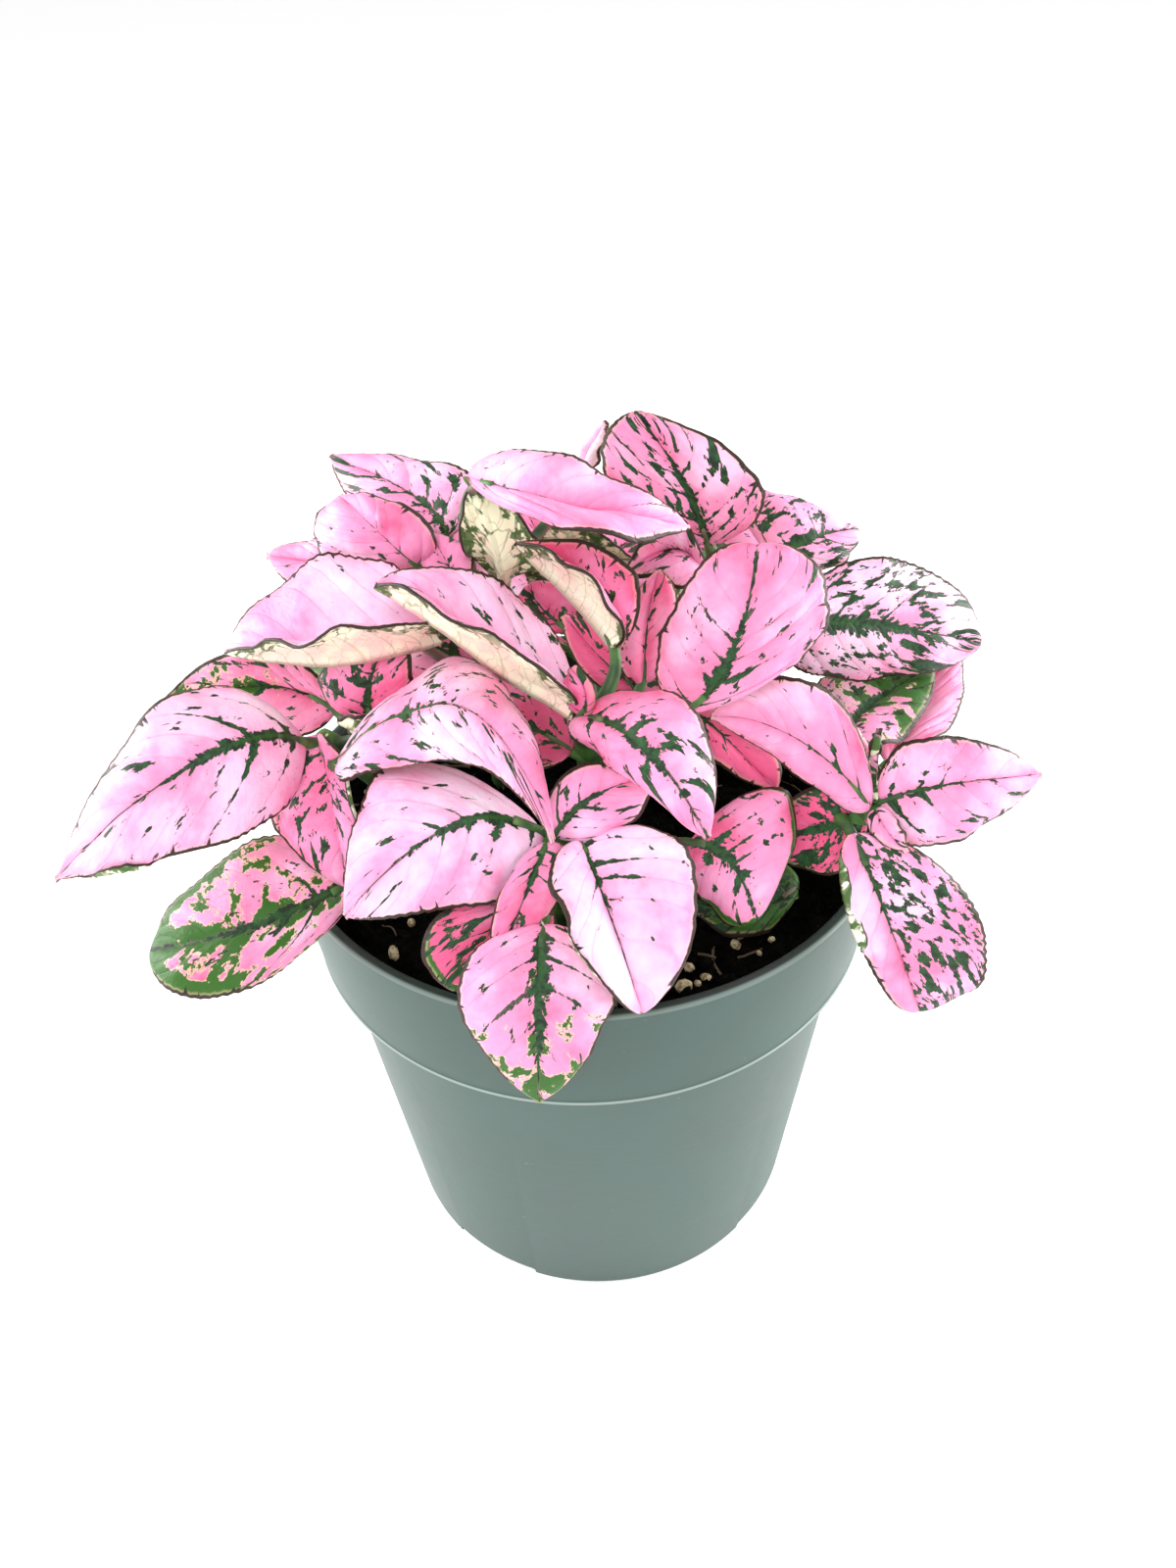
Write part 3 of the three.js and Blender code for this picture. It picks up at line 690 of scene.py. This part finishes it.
def rounded(corners, radii, steps=7):
    """A profile through the corners, each one cut back by its radius and rounded with an arc-like
    quadratic curve."""
    corners = np.array(corners, float)
    points = [corners[:1]]
    for before, corner, after, radius in zip(corners[:-2], corners[1:-1], corners[2:], radii):
        start = corner + unit(before - corner) * radius
        end = corner + unit(after - corner) * radius
        points.append(bezier((start, corner, end), np.linspace(0, 1, steps)))
    points.append(corners[-1:])
    return np.vstack(points)


def turned(profile, columns=256):
    """The profile's points, as radius and height, carried round the Z axis."""
    angle = np.linspace(0, 2 * np.pi, columns, endpoint=False)[None, :]
    radius, height = profile[:, 0, None], profile[:, 1, None]
    return stacked(radius * np.cos(angle), radius * np.sin(angle), height)


def cut(piece, cutter):
    """Takes the cutter's shape out of the piece."""
    difference = piece.modifiers.new("cut", "BOOLEAN")
    difference.operation = "DIFFERENCE"
    difference.solver = "EXACT"
    difference.object = cutter
    bpy.context.view_layer.objects.active = piece
    bpy.ops.object.modifier_apply(modifier=difference.name)
    bpy.data.objects.remove(cutter)


def carried_out(piece, distance, angle):
    """Moves a cutter out from the pot's axis and turns it to its angle."""
    piece.data.transform(Matrix.Translation((distance * MM, 0, 0)))
    piece.data.transform(Matrix.Rotation(math.radians(angle), 4, "Z"))
    return piece


def channel_cutter(angle):
    """A flat bar with rounded edges, under the floor from near its middle out past the base."""
    length = BASE_RADIUS + 2 - CHANNEL_INNER_RADIUS
    bpy.ops.mesh.primitive_cube_add(size=1)
    bar = bpy.context.object
    bar.data.transform(Matrix.Diagonal((length * MM, CHANNEL_WIDTH * MM, 2 * CHANNEL_HEIGHT * MM, 1)))
    bevel = bar.modifiers.new("round", "BEVEL")
    bevel.width = 0.35 * MM
    bevel.segments = 3
    bpy.ops.object.modifier_apply(modifier=bevel.name)
    return carried_out(bar, CHANNEL_INNER_RADIUS + length / 2, angle)


def hole_cutter(angle):
    """A round rod through the floor, for a drainage hole."""
    bpy.ops.mesh.primitive_cylinder_add(vertices=48, radius=HOLE_RADIUS * MM, depth=4 * FLOOR * MM)
    return carried_out(bpy.context.object, HOLE_DISTANCE, angle)


def pot_finish():
    """Grey-green moulded plastic: faint turning lines, fine grain, a little dust, painted shade on the
    inside wall and the inner part of the rim's top, and painted highlights along the rim's outer edge
    and the collar's foot."""
    finish = Finish("pot_plastic", Roughness=0.5, Specular_IOR_Level=0.5)
    place = finish.place()
    x, y, z = place.parts()
    height = z / MM
    radius = (x * x + y * y).math("SQRT") / MM
    half_wall = finish.add("MapRange", {}, {
        0: height, 1: COLLAR_FOOT, 2: POT_HEIGHT,
        3: inner_radius(COLLAR_FOOT) + WALL / 2, 4: RIM_RADIUS - WALL * 0.4,
    }, "Result")
    # Painted shade: the inside wall above the collar's foot and the inner part of the rim's top are
    # darker
    inside = (half_wall - radius).within(-0.06, 0.06)
    inside = inside * height.within(COLLAR_FOOT - 0.6, COLLAR_FOOT - 0.3)
    # Painted highlights: paler thin bands along the collar's foot and the rim's outer edge
    collar_highlight = (height - COLLAR_FOOT - 0.2).size().within(0.17, 0.08)
    collar_highlight = collar_highlight * (radius - BODY_TOP_RADIUS).within(1, 1.4)
    rim_highlight = height.within(POT_HEIGHT - 0.35, POT_HEIGHT - 0.1)
    rim_highlight = rim_highlight * (radius - RIM_RADIUS).within(-0.45, -0.2)
    drawn = finish.noise(finish.vector(x * 0.15, y * 0.15, z * 6), 260)
    clouds = finish.noise(place, 60, 3)
    dust = finish.noise(place, 700, 4, 0.7)
    skin = finish.layers(
        POT_DARK, (clouds.within(0.3, 0.7), POT_LIGHT), (dust.within(0.66, 0.8) * 0.25, POT_DUST),
        (collar_highlight * (0.35 + clouds * 0.5), POT_EDGE_HIGHLIGHT), (rim_highlight * 0.35, POT_EDGE_HIGHLIGHT),
        (inside, POT_INSIDE_SHADE),
    )
    rough = 0.32 + clouds * 0.12 + dust * 0.06
    relief = drawn * 0.6 + dust * 0.25
    return finish.set(Base_Color=skin, Roughness=rough, Normal=finish.bump(relief, 0.25, 0.05))


def make_pot():
    """A turned shell with a rounded rim and collar, then four channels and holes cut underneath."""
    corners = (
        (0, 0), (BASE_RADIUS, 0), (BODY_TOP_RADIUS, COLLAR_FOOT),
        (COLLAR_FOOT_RADIUS + 0.14, COLLAR_FOOT),
        (COLLAR_FOOT_RADIUS + 0.15, COLLAR_FOOT + 0.22),
        (COLLAR_FOOT_RADIUS + 0.04, COLLAR_FOOT + 0.4),
        (RIM_RADIUS, POT_HEIGHT), (inner_radius(POT_HEIGHT), POT_HEIGHT),
        (inner_radius(COLLAR_FOOT), COLLAR_FOOT), (inner_radius(FLOOR), FLOOR), (0, FLOOR),
    )
    radii = (0.5, 0.25, 0.08, 0.08, 0.1, 0.4, 0.35, 2, 0.5)
    skin = Skin()
    skin.grid(turned(rounded(corners, radii)))
    pot = skin.build("nursery_pot", [pot_finish()], ["pot"])
    for angle in CHANNEL_ANGLES:
        cut(pot, channel_cutter(angle))
        cut(pot, hole_cutter(angle))
    pot.data.shade_smooth()
    pot.data.set_sharp_from_angle(angle=math.radians(35))


# Soil

def soil_height(x, y):
    """The soil's top: low swells and small lumps, level beside the wall."""
    place = stacked(x, y, 0)
    swell = 0.35 * (np.sin(0.55 * x + 1) * np.cos(0.47 * y) + 0.6 * np.sin(0.9 * x - 1.1 * y))
    lumps = 0.3 * ripples(place, 3.1, 5) + 0.16 * ripples(place, 1.2, 6)
    inside = smooth(np.hypot(x, y), inner_radius(SOIL_TOP) - 0.4, inner_radius(SOIL_TOP) - 2)
    return SOIL_TOP - 0.1 + (swell + lumps) * inside


def soil_finish():
    """Damp potting mix, painted near black to carry the shade under the leaves, with brown grains and
    browner patches of peat.
    """
    finish = Finish("potting_mix", Roughness=0.85, Specular_IOR_Level=0.04)
    place = finish.place()
    grain = finish.noise(place, 900, 4, 0.65)
    patch = finish.noise(place, 220, 3)
    skin = finish.layers(
        SOIL_BLACK, (grain.within(0.35, 0.7), SOIL_BROWN), (patch.within(0.6, 0.75) * 0.5, SOIL_PEAT),
    )
    return finish.set(Base_Color=skin, Normal=finish.bump(grain + patch * 0.5, 0.8, 0.35))


def make_soil():
    """A closed body that fills the pot, with a fine uneven top."""
    wall_gap = 0.06
    share = np.r_[0, 1, 1, 1, np.linspace(1, 0, 90)[1:]]
    level = np.r_[FLOOR + 0.3, FLOOR + 0.3, COLLAR_FOOT, np.full(90, SOIL_TOP)]
    radius = share * (inner_radius(level) - wall_gap)
    points = turned(stacked(radius, level), 300)
    top = points[3:]
    top[..., 2] = soil_height(top[..., 0], top[..., 1])
    top[-1] = top[-1].mean(axis=0)
    skin = Skin()
    skin.grid(points)
    skin.build("soil_bed", [SOIL_MIX], ["soil"])


def add_lumps(skin, places, sizes, splits, seed, rough):
    """A small lump at each place: an icosahedron, its faces split that many times, that is stretched,
    turned and dented at random."""
    bpy.ops.mesh.primitive_ico_sphere_add(subdivisions=1 + splits, radius=1)
    ball = bpy.context.object
    corners = np.zeros((len(ball.data.vertices), 3))
    ball.data.vertices.foreach_get("co", corners.ravel())
    faces = np.zeros((len(ball.data.polygons), 3), int)
    ball.data.polygons.foreach_get("vertices", faces.ravel())
    bpy.data.objects.remove(ball)
    draw = np.random.default_rng(seed)
    count = len(places)
    stretch = draw.uniform(0.6, 1.25, (count, 1, 3))
    dents = 1 + rough * draw.normal(size=(count, len(corners), 1)).clip(-1.6, 1.6)
    turns = np.linalg.qr(draw.normal(size=(count, 3, 3)))[0]
    turns = turns * np.sign(np.linalg.det(turns))[:, None, None]
    shaped = (corners[None] * stretch * dents) @ turns
    skin.lumps(places[:, None] + shaped * sizes[:, None, None], faces)


def scattered(count, seed, radius=24.6):
    """Random places over the soil."""
    draw = np.random.default_rng(seed)
    reach = radius * np.sqrt(draw.uniform(0, 1, count))
    angle = draw.uniform(0, 2 * np.pi, count)
    x, y = reach * np.cos(angle), reach * np.sin(angle)
    return stacked(x, y, soil_height(x, y))


def make_crumbs():
    """Many small crumbs of soil."""
    places = scattered(2600, 11)
    sizes = 0.18 + 0.55 * np.random.default_rng(12).uniform(0, 1, len(places)) ** 3
    skin = Skin()
    add_lumps(skin, places, sizes, 0, 13, 0.16)
    skin.build("soil_crumbs", [SOIL_MIX])


def make_fibres():
    """Thin bent strands of peat and bark, half lying in the soil."""
    draw = np.random.default_rng(21)
    skin = Skin()
    for place in scattered(90, 22, 23.5):
        heading = draw.uniform(0, 2 * np.pi)
        length = draw.uniform(1.2, 4.2)
        way = np.array((math.cos(heading), math.sin(heading), 0))
        bent = np.cross((0, 0, 1), way) * draw.uniform(-0.8, 0.8)
        rise = (0, 0, draw.uniform(0.2, 0.9))
        half = way * length / 2
        path = bezier((place - half, place + bent + rise, place + half), np.linspace(0, 1, 9))
        path[:, 2] = np.maximum(path[:, 2], soil_height(path[:, 0], path[:, 1]) + 0.05)
        add_tube(skin, path, np.full(9, draw.uniform(0.05, 0.14)), 6)
    finish = Finish("peat_fibre", Roughness=0.8)
    tint = finish.noise(finish.place(), 300)
    material = finish.set(Base_Color=finish.layers(FIBRE_DARK, (tint, FIBRE_PALE)))
    skin.build("peat_fibres", [material])


def make_perlite():
    """Cream perlite grains: the ones that the photo shows, and a few more round the pot."""
    shown = np.array(PERLITE_SHOWN, float)
    more = scattered(26, 31, 23)
    places = np.vstack([np.c_[shown[:, :2], soil_height(shown[:, 0], shown[:, 1])], more])
    sizes = np.r_[shown[:, 2], 0.2 + 0.4 * np.random.default_rng(32).uniform(0, 1, len(more)) ** 2]
    places[:, 2] += sizes * 0.45
    skin = Skin()
    add_lumps(skin, places, sizes, 2, 33, 0.05)
    finish = Finish("perlite", Roughness=0.8)
    pits = finish.noise(finish.place(), 2400, 3, 0.6)
    tint = finish.layers(PERLITE_PIT, (pits.within(0.35, 0.6), PERLITE_CREAM))
    material = finish.set(Base_Color=tint, Normal=finish.bump(pits, 0.8, 0.25))
    skin.build("perlite_grains", [material])


# Camera, floor and lights

FLOOR_GLOW = 0.3
WORLD_STRENGTH = 0.68


def make_camera():
    """The photograph's camera: place, pitch down, yaw to the right and roll."""
    turns = Matrix.Identity(4)
    for angle, axis in ((-CAMERA_YAW, "Z"), (90 - CAMERA_PITCH, "X"), (CAMERA_ROLL, "Z")):
        turns = turns @ Matrix.Rotation(math.radians(angle), 4, axis)
    camera = bpy.data.objects.new("camera", bpy.data.cameras.new("camera"))
    camera.data.sensor_width = SENSOR_WIDTH
    camera.data.lens = CAMERA_FOCAL_PIXELS / PHOTO_LONG_SIDE * SENSOR_WIDTH
    camera.data.clip_start = 0.005
    camera.matrix_world = Matrix.Translation(Vector(CAMERA_PLACE) * MM) @ turns
    bpy.context.scene.collection.objects.link(camera)
    bpy.context.scene.camera = camera


def make_floor():
    """A wide pale floor that glows a little, so that it comes out white."""
    bpy.ops.mesh.primitive_plane_add(size=20)
    floor = bpy.context.object
    floor.name = "floor"
    pale = Finish("pale_floor", Roughness=0.9, Base_Color=colour("#fbfbfb"),
                  Emission_Color=colour("#ffffff"), Emission_Strength=FLOOR_GLOW)
    floor.data.materials.append(pale.material)


def soft_light(name, place, size, power):
    """A square lamp that faces the plant."""
    lamp = bpy.data.lights.new(name, "AREA")
    lamp.size = size
    lamp.energy = power
    light = bpy.data.objects.new(name, lamp)
    light.location = place
    light.rotation_euler = (Vector((0, 0, 0.05)) - Vector(place)).to_track_quat("-Z", "Y").to_euler()
    bpy.context.scene.collection.objects.link(light)


def make_light():
    """An even white world and four soft lamps."""
    world = bpy.data.worlds.new("studio")
    world.use_nodes = True
    background = world.node_tree.nodes["Background"].inputs
    background["Color"].default_value = (1, 1, 1, 1)
    background["Strength"].default_value = WORLD_STRENGTH
    bpy.context.scene.world = world
    soft_light("key", (-0.18, -0.36, 0.56), 0.4, 2)
    soft_light("front", (0.08, -0.5, 0.16), 0.3, 0.4)
    soft_light("right", (0.33, 0.1, 0.12), 0.25, 1.7)
    soft_light("left", (-0.33, 0.1, 0.12), 0.25, 1.3)
    bpy.context.scene.view_settings.view_transform = "Standard"


LEAF_UPPER = leaf_upper_finish()
LEAF_UNDER = leaf_under_finish()
STEM_SKIN = stem_finish()
SOIL_MIX = soil_finish()
make_camera()
make_floor()
make_light()
make_pot()
make_soil()
make_crumbs()
make_fibres()
make_perlite()

# Leafy stems, at the places of the imported part: where each comes out of the soil, its crown, and
# its leaves, each with its midrib on the first line, and then its edges and look

# The deep pinks of the inner, under and low leaves paint in the shade they sit in
leafy_stem(0, "front", (-2, -13), (-2.5, -19, 59.5),
    broad_left=Leaf((-3.5, -19, 60.5), (-10, -20, 62), (-18.5, -21.5, 55),
        (-8, -22.5, 56.5), (-14.5, -14, 63.5), 0.15, 0.85, 0.1),
    broad_right=Leaf((-0.5, -20, 60), (1, -24, 58), (3.5, -28.5, 50.5),
        (7.5, -21.5, 60), (-2.5, -26.5, 60.5), 0.03, 0.8, 0.05, taper=0.55,
        roll=(1, 0.5, 0.94, 0.12, 150)),
    small_middle=Leaf((-3, -20.5, 60.5), (-4.5, -23, 58.5), (-6.5, -25, 54.5),
        (-1.5, -22.5, 58.5), (-6.5, -23, 58), 0.35, 0.7, 0.45, taper=0.5),
    upright=Leaf((-2.5, -19.5, 60.5), (0.5, -18.8, 63.3), (4.5, -18, 64.2),
        (-1, -17.5, 65), (3.5, -19.5, 61.5), 0.4, 0.7, 0.25),
    over_rim=Leaf((-3.5, -25, 56.5), (-4, -29, 52.5), (-4.5, -31, 44),
        (1.5, -27.5, 51.3), (-10, -28, 52.3), 0.3, 1.2, 0.25, 0.66, 0.25),
    low_left=Leaf((-4, -20.5, 56), (-7, -22.5, 53.5), (-10.5, -25.5, 50.5),
        (-4, -23.5, 51.5), (-12.5, -23, 54.5), 0.95, 1.2, 1.15, 0, 1.2),
    low_right=Leaf((8, -17.5, 57.5), (11, -18.5, 56), (13, -19.5, 51),
        (15.5, -14, 59.5), (8, -18, 53), 0.6, 1.1, 0.45, 0, 1.4, taper=0.45),
)

leafy_stem(1, "left", (-13, -3), (-21.5, -7, 61),
    long_out=Leaf((-22.5, -8.5, 62), (-29, -14.5, 65), (-41.5, -17, 56),
        (-28.5, -17.5, 59), (-31.5, -10, 68), 0.15, 0.9, 0.3, taper=0.9,
        roll=(-1, 0.6, 0.96, 0.3, 140)),
    hanging=Leaf((-21.5, -7, 61.5), (-20, -12, 57.5), (-19.5, -14.5, 51.5),
        (-18, -14, 60.5), (-25.5, -11.5, 57), 0.6, 0.35, 0.8, roll=(-1, 0.15, 0.9, 0.16, 160)),
    low_green=Leaf((-19, -12.5, 50.8), (-26, -19.5, 52.5), (-35.5, -18.5, 49),
        (-27, -23, 49), (-27, -11, 54), 0.6, 1, 0.25, 0.92, 1, taper=0.65),
    behind=Leaf((-21, -1, 60), (-29, 1.5, 61), (-38.5, 1, 58),
        (-30, -1, 57.5), (-27.5, 1.5, 65), 0.6, 0.7, 0.4, 0.72, 0.4),
    upright=Leaf((-17, -7.5, 63), (-16.5, -6.5, 66.5), (-14.5, -5.5, 69.5),
        (-21, -5, 66), (-13, -7.5, 67), 0.7, 0.9, 0.65),
    young=Leaf((-15.5, -8.5, 61.5), (-17, -9.5, 63.5), (-19.5, -8, 63.5),
        (-17, -10, 65), (-17, -9.5, 61.5), 0.3, 0.4, 0.3),
    draped=Leaf((-19, -13, 63), (-9, -16, 70), (-2.5, -22.5, 62.5),
        (-8.5, -8.5, 69), (-11, -17.5, 66.5), 0.2, 0.4, 0.5, taper=0.9, roll=(1, 0.1, 0.7, 0.1, 150)),
)

leafy_stem(2, "centre", (1, -2), (0, -12.5, 65.5),
    broad_right=Leaf((0, -13, 66.5), (4.5, -21, 69), (8.5, -23.5, 63),
        (7.5, -17.5, 70.5), (1.5, -18, 66), 0.5, 0.9, 0.4),
    folded_left=Leaf((-0.5, -12.5, 66.5), (-7.5, -10.5, 71), (-15, -6.5, 75),
        (-5.5, -15.5, 75), (-6, -5.5, 74), 0.3, 0.2, 0.3),
    tiny=Leaf((0, -13.5, 67), (0.5, -13.5, 69), (-0.5, -12, 70),
        (-1, -11.5, 69), (1, -13.5, 69), 0.7, 0.3, 0.5),
    low_right=Leaf((8.5, -8, 63), (11.5, -11, 62), (15, -13, 58.5),
        (14.5, -10.5, 62), (10, -12, 61), 0.8, 0.5, 0.4),
    puckered=Leaf((8, -13, 66.5), (11.5, -11.5, 71), (13.5, -7, 77),
        (6.5, -9, 71.5), (18, -10.5, 71), 0.5, 1, 0.25, taper=0.5, puff=3),
    inner_up=Leaf((5, -8, 66), (5.5, -5.5, 70), (6.5, -3, 73),
        (3, -6.5, 69.5), (8, -5.5, 70), 0.85, 0.4, 0.3),
    inner_folded=Leaf((3, -9, 70), (-0.5, -4.5, 72.5), (-4.5, -4, 76.5),
        (1, -10, 76.5), (3.5, -5.5, 75.5), 0.9, 0.5, 0.6, puff=0.3),
    inner_shaded=Leaf((-1, -0.5, 66.5), (-3, 0.8, 68), (-4, 2, 69.5),
        (-5, 0, 67), (-0.5, 2, 69), 0.9, 0.5, 0.7),
    under_left=Leaf((-1, -10, 61), (-7.5, -6.5, 62), (-14, -2, 58.5),
        (-9, -11, 61), (-4.5, -1, 62), 0.8, 0.8, 0.6),
    under_right=Leaf((2.5, -9, 61), (8.5, -3, 61.5), (14, 3, 58),
        (3.5, -0.5, 61), (12.5, -7, 60), 0.8, 0.8, 0.6),
    inner_low=Leaf((4.5, -7.5, 65), (2, -5.5, 66.5), (-1, -2.5, 69),
        (0.5, -6, 65.5), (5, -5.5, 68.5), 0.9, 0.5, 0.5),
)

leafy_stem(3, "back_left", (-8, 8), (-8.5, -1, 70.5),
    cupped_left=Leaf((-11, -5.5, 69.5), (-19, -7.5, 69), (-29, -2, 66.5),
        (-16.5, -12.5, 74.5), (-20, 0.5, 73.5), 0.1, 0.15, 0.02),
    top_arched=Leaf((-8, 1.5, 79.5), (-0.5, -7, 81), (8.5, -3, 76.5),
        (0, -3.5, 83), (0.5, -10.5, 80.5), 0.3, 0.35, 0.12),
    far_left=Leaf((-10.5, 4.5, 73), (-13, 7.5, 75), (-21.5, 17, 75),
        (-17.5, 8.5, 72), (-8.5, 8, 77), 0.4, 0.8, 0.7),
    ruffled=Leaf((-12.5, 1, 72), (-15.5, 1.5, 75), (-19.5, 7, 76),
        (-21, 4, 72.5), (-12.5, 2, 76.5), 0.45, 0.2, 0.15, puff=3),
    side_left=Leaf((-16, 4, 70), (-21, 6, 70), (-27, 10, 69),
        (-21.5, 4, 67.5), (-21, 8, 71.5), 0.45, 0.4, 0.3),
    small_up=Leaf((-9.5, -1, 71.5), (-10.5, 0.5, 73), (-11.5, 2.5, 74),
        (-12.5, 1, 72.5), (-8.5, 1, 73.5), 0.6, 0.3, 0.2),
    spike=Leaf((0.5, 7.5, 76), (2, 7, 79), (3, 6, 81.5),
        (1.5, 8, 79), (2.5, 6, 79), -0.1, 0.05, 0, puff=0.3),
    back_low=Leaf((-8, 3, 66), (-11, 12, 67), (-15, 21, 61),
        (-17, 10, 64), (-5, 13, 65), 0.35, 0.9, 0.4),
    top_turned=Leaf((-6, 2, 70), (-6, -0.5, 74), (-7.5, 2, 79),
        (-2.5, -2, 75), (-9, -1, 75.5), 0.4, 0.4, 0.2),
    back_mid=Leaf((-8.5, 2, 60), (-14, 7, 61), (-20, 11.5, 57.5),
        (-16.5, 3.5, 59.5), (-11.5, 10.5, 60.5), 0.55, 0.9, 0.6),
    back_high=Leaf((-10, 6.5, 69.5), (-14, 13, 70.5), (-19.5, 20, 66),
        (-18.5, 10.5, 68.5), (-9.5, 15.5, 69), 0.35, 0.8, 0.5),
    back_side=Leaf((-14, 4, 63), (-20.5, 8.5, 64.5), (-28, 13, 61.5),
        (-22.5, 5.5, 66.5), (-18.5, 12, 61.5), 0.4, 0.9, 0.6),
)

leafy_stem(4, "back_right", (9, 8), (12, 4, 71),
    top=Leaf((11, 2, 72.5), (9, 2.5, 77.5), (5.5, 4.5, 83),
        (2.5, 3, 79), (14.5, 0.5, 79), 0.4, 1.2, 0.7),
    small_right=Leaf((16.5, 2, 71), (19.5, 2.5, 72.5), (24, 5.5, 71.5),
        (15.5, 7, 74.5), (22, 3, 69.5), 0.1, 1, 0.8),
    speckled_right=Leaf((16.5, -3, 67.5), (24.5, -1, 66), (35, 2.5, 61.5),
        (26, 3, 70), (22.5, -1.5, 61), 0.1, 1.2, 1.05, 0, 0.25, taper=0.6),
    inner_left=Leaf((11, 0, 70.5), (8, 0.5, 73), (3.5, -2.5, 72),
        (6.5, -2.5, 72), (8, 0, 76), 0.4, 0.6, 0.8),
    inner_shaded=Leaf((10, -2, 66.5), (8, -1.5, 69), (6.5, -0.5, 71),
        (9.5, 1, 69.5), (6, -1, 68.5), 0.9, 0.3, 0.1),
    back_low=Leaf((12, 8, 67), (15, 16, 68), (19, 25, 61),
        (8, 16.5, 65), (22, 13, 65), 0.3, 1.1, 0.5),
    back_mid=Leaf((13, 6, 60), (19.5, 8, 61.5), (26.5, 12.5, 58.5),
        (17.5, 11.5, 60), (21.5, 4.5, 60.5), 0.5, 1, 0.7, 0.3),
    back_high=Leaf((10, 7, 69.5), (9, 8.5, 74), (7, 7.5, 78.5),
        (14, 8.5, 75.5), (4, 8.5, 72.5), 0.35, 0.9, 0.5),
    back_side=Leaf((15, 5, 63.5), (22, 8, 65), (29, 11, 61.5),
        (20, 11.5, 62.5), (24, 4.5, 67.5), 0.3, 1.1, 0.8),
)

leafy_stem(5, "right", (14, -6), (22, -15, 57.5),
    broad_inward=Leaf((22, -16, 59), (16.5, -13, 63.5), (10, -11.5, 65),
        (16.5, -13.5, 60.5), (18, -11.5, 67.5), 0.35, 0.3, 0.1),
    pointed_out=Leaf((23, -15.5, 59), (28.5, -15.5, 60.5), (36.5, -12.5, 58.5),
        (26.5, -14, 64), (28, -17.5, 56), 0.3, 0.5, 0.25),
    hanging=Leaf((20.5, -17.5, 57.5), (23.5, -21, 50.5), (26.5, -22, 42),
        (30.5, -20, 51), (20.5, -21, 51), 0.35, 0.5, 1.1, taper=0.45, bias=-1,
        roll=(1, 0, 0.62, 0.48, 150)),
    under=Leaf((22, -15, 57.5), (18.5, -14.5, 55.5), (14, -13, 53.5),
        (19.5, -16, 52), (18.5, -13, 59), 0.85, 1.1, 1.2, 0, 0.8),
    green_under=Leaf((21.5, -7, 58.5), (26, 0, 57.5), (31.5, 3, 58.5),
        (22, 4.5, 57), (28.5, -4, 57.5), 0.5, 1.1, 0.5, 1, 0.8),
    plain_behind=Leaf((26, -6, 55), (30, 1.5, 54.5), (35, 9, 57),
        (28, 5.5, 54), (34.5, 2.5, 54.5), 0.65, 0.1, 0),
    young_folded=Leaf((22.5, -14, 58.5), (21.5, -12.5, 61.5), (20.5, -11.5, 64),
        (20.5, -12.5, 61.5), (22.5, -12.5, 61.5), 0.3, 0.3, 0.3),
    young_back=Leaf((22.5, -15, 59), (22.5, -14, 61.5), (23, -12.5, 63.5),
        (23, -13.5, 61.5), (22, -13.5, 61.5), 0.3, 0.3, 0.3),
    leaflet=Leaf((22.5, -16, 58.5), (23, -17.5, 58), (24.5, -18.5, 56.5),
        (24, -18, 58.5), (22, -18, 57.5), 0.3, 0.4, 0.3),
    # Its very broad dark midrib band and wide blotches also paint in the shade it lies in
    old_on_soil=Leaf((18, -11.5, 46), (13.5, -13.5, 46), (8.5, -12.5, 46),
        (13, -16.5, 45.5), (14.5, -10, 46), 0.9, 2.2, 0.8, 1.8, 2),
)

leafy_stem(6, "back", (1, 15), (1, 20, 58),
    back_middle=Leaf((1, 21.5, 58.5), (0, 28.5, 60.5), (3, 38, 53),
        (-6.5, 27, 59), (8, 29, 57.5), 0.25, 1, 0.3),
    back_left=Leaf((-1, 21, 56.5), (-9.5, 25.5, 58.5), (-20, 31.5, 54),
        (-13, 19, 55.5), (-6, 31.5, 57), 0.35, 1.1, 0.6),
    back_right=Leaf((3, 21, 56.5), (11, 26, 56.5), (17.5, 33, 48),
        (7.5, 31, 53.5), (15.5, 21, 55), 0.3, 0.9, 0.8, 0, 0.3),
    low_left=Leaf((-1, 19, 52.5), (-14, 19, 54.5), (-28.5, 20.5, 51),
        (-16, 12.5, 50.8), (-14.5, 25.5, 53.5), 0.5, 1.2, 0.4, 0.8, 1.1),
    low_right=Leaf((3, 19, 52.5), (16, 20, 53.5), (28.5, 24, 54),
        (14.5, 26, 51), (17.5, 13.5, 52.5), 0.45, 1.2, 0.5, 0.5, 0.7),
    upper=Leaf((1, 19, 59), (0, 14.5, 64), (-1, 13.5, 70),
        (6, 14.5, 64), (-5.5, 15, 64), 0.3, 0.7, 0.3),
    mid_left=Leaf((-1, 18.5, 58), (-7.5, 16.5, 60.5), (-15, 17.5, 57),
        (-9, 12.5, 57.5), (-7.5, 21.5, 60.5), 0.3, 0.8, 0.5),
    mid_right=Leaf((3, 18.5, 58), (9.5, 15, 60.5), (16, 12, 58),
        (9, 19.5, 62), (9.5, 11, 57.5), 0.4, 0.9, 0.35),
    small_left=Leaf((0, 20.5, 59.5), (-3.5, 22, 63.5), (-5, 25, 66.5),
        (-6, 21, 64), (-1.5, 24, 64.5), 0.5, 0.5, 0.3),
    small_right=Leaf((2, 20.5, 59.5), (5, 22.5, 62), (8.5, 26, 61.5),
        (3.5, 24.5, 62.5), (7.5, 21.5, 61.5), 0.45, 0.6, 0.5),
)
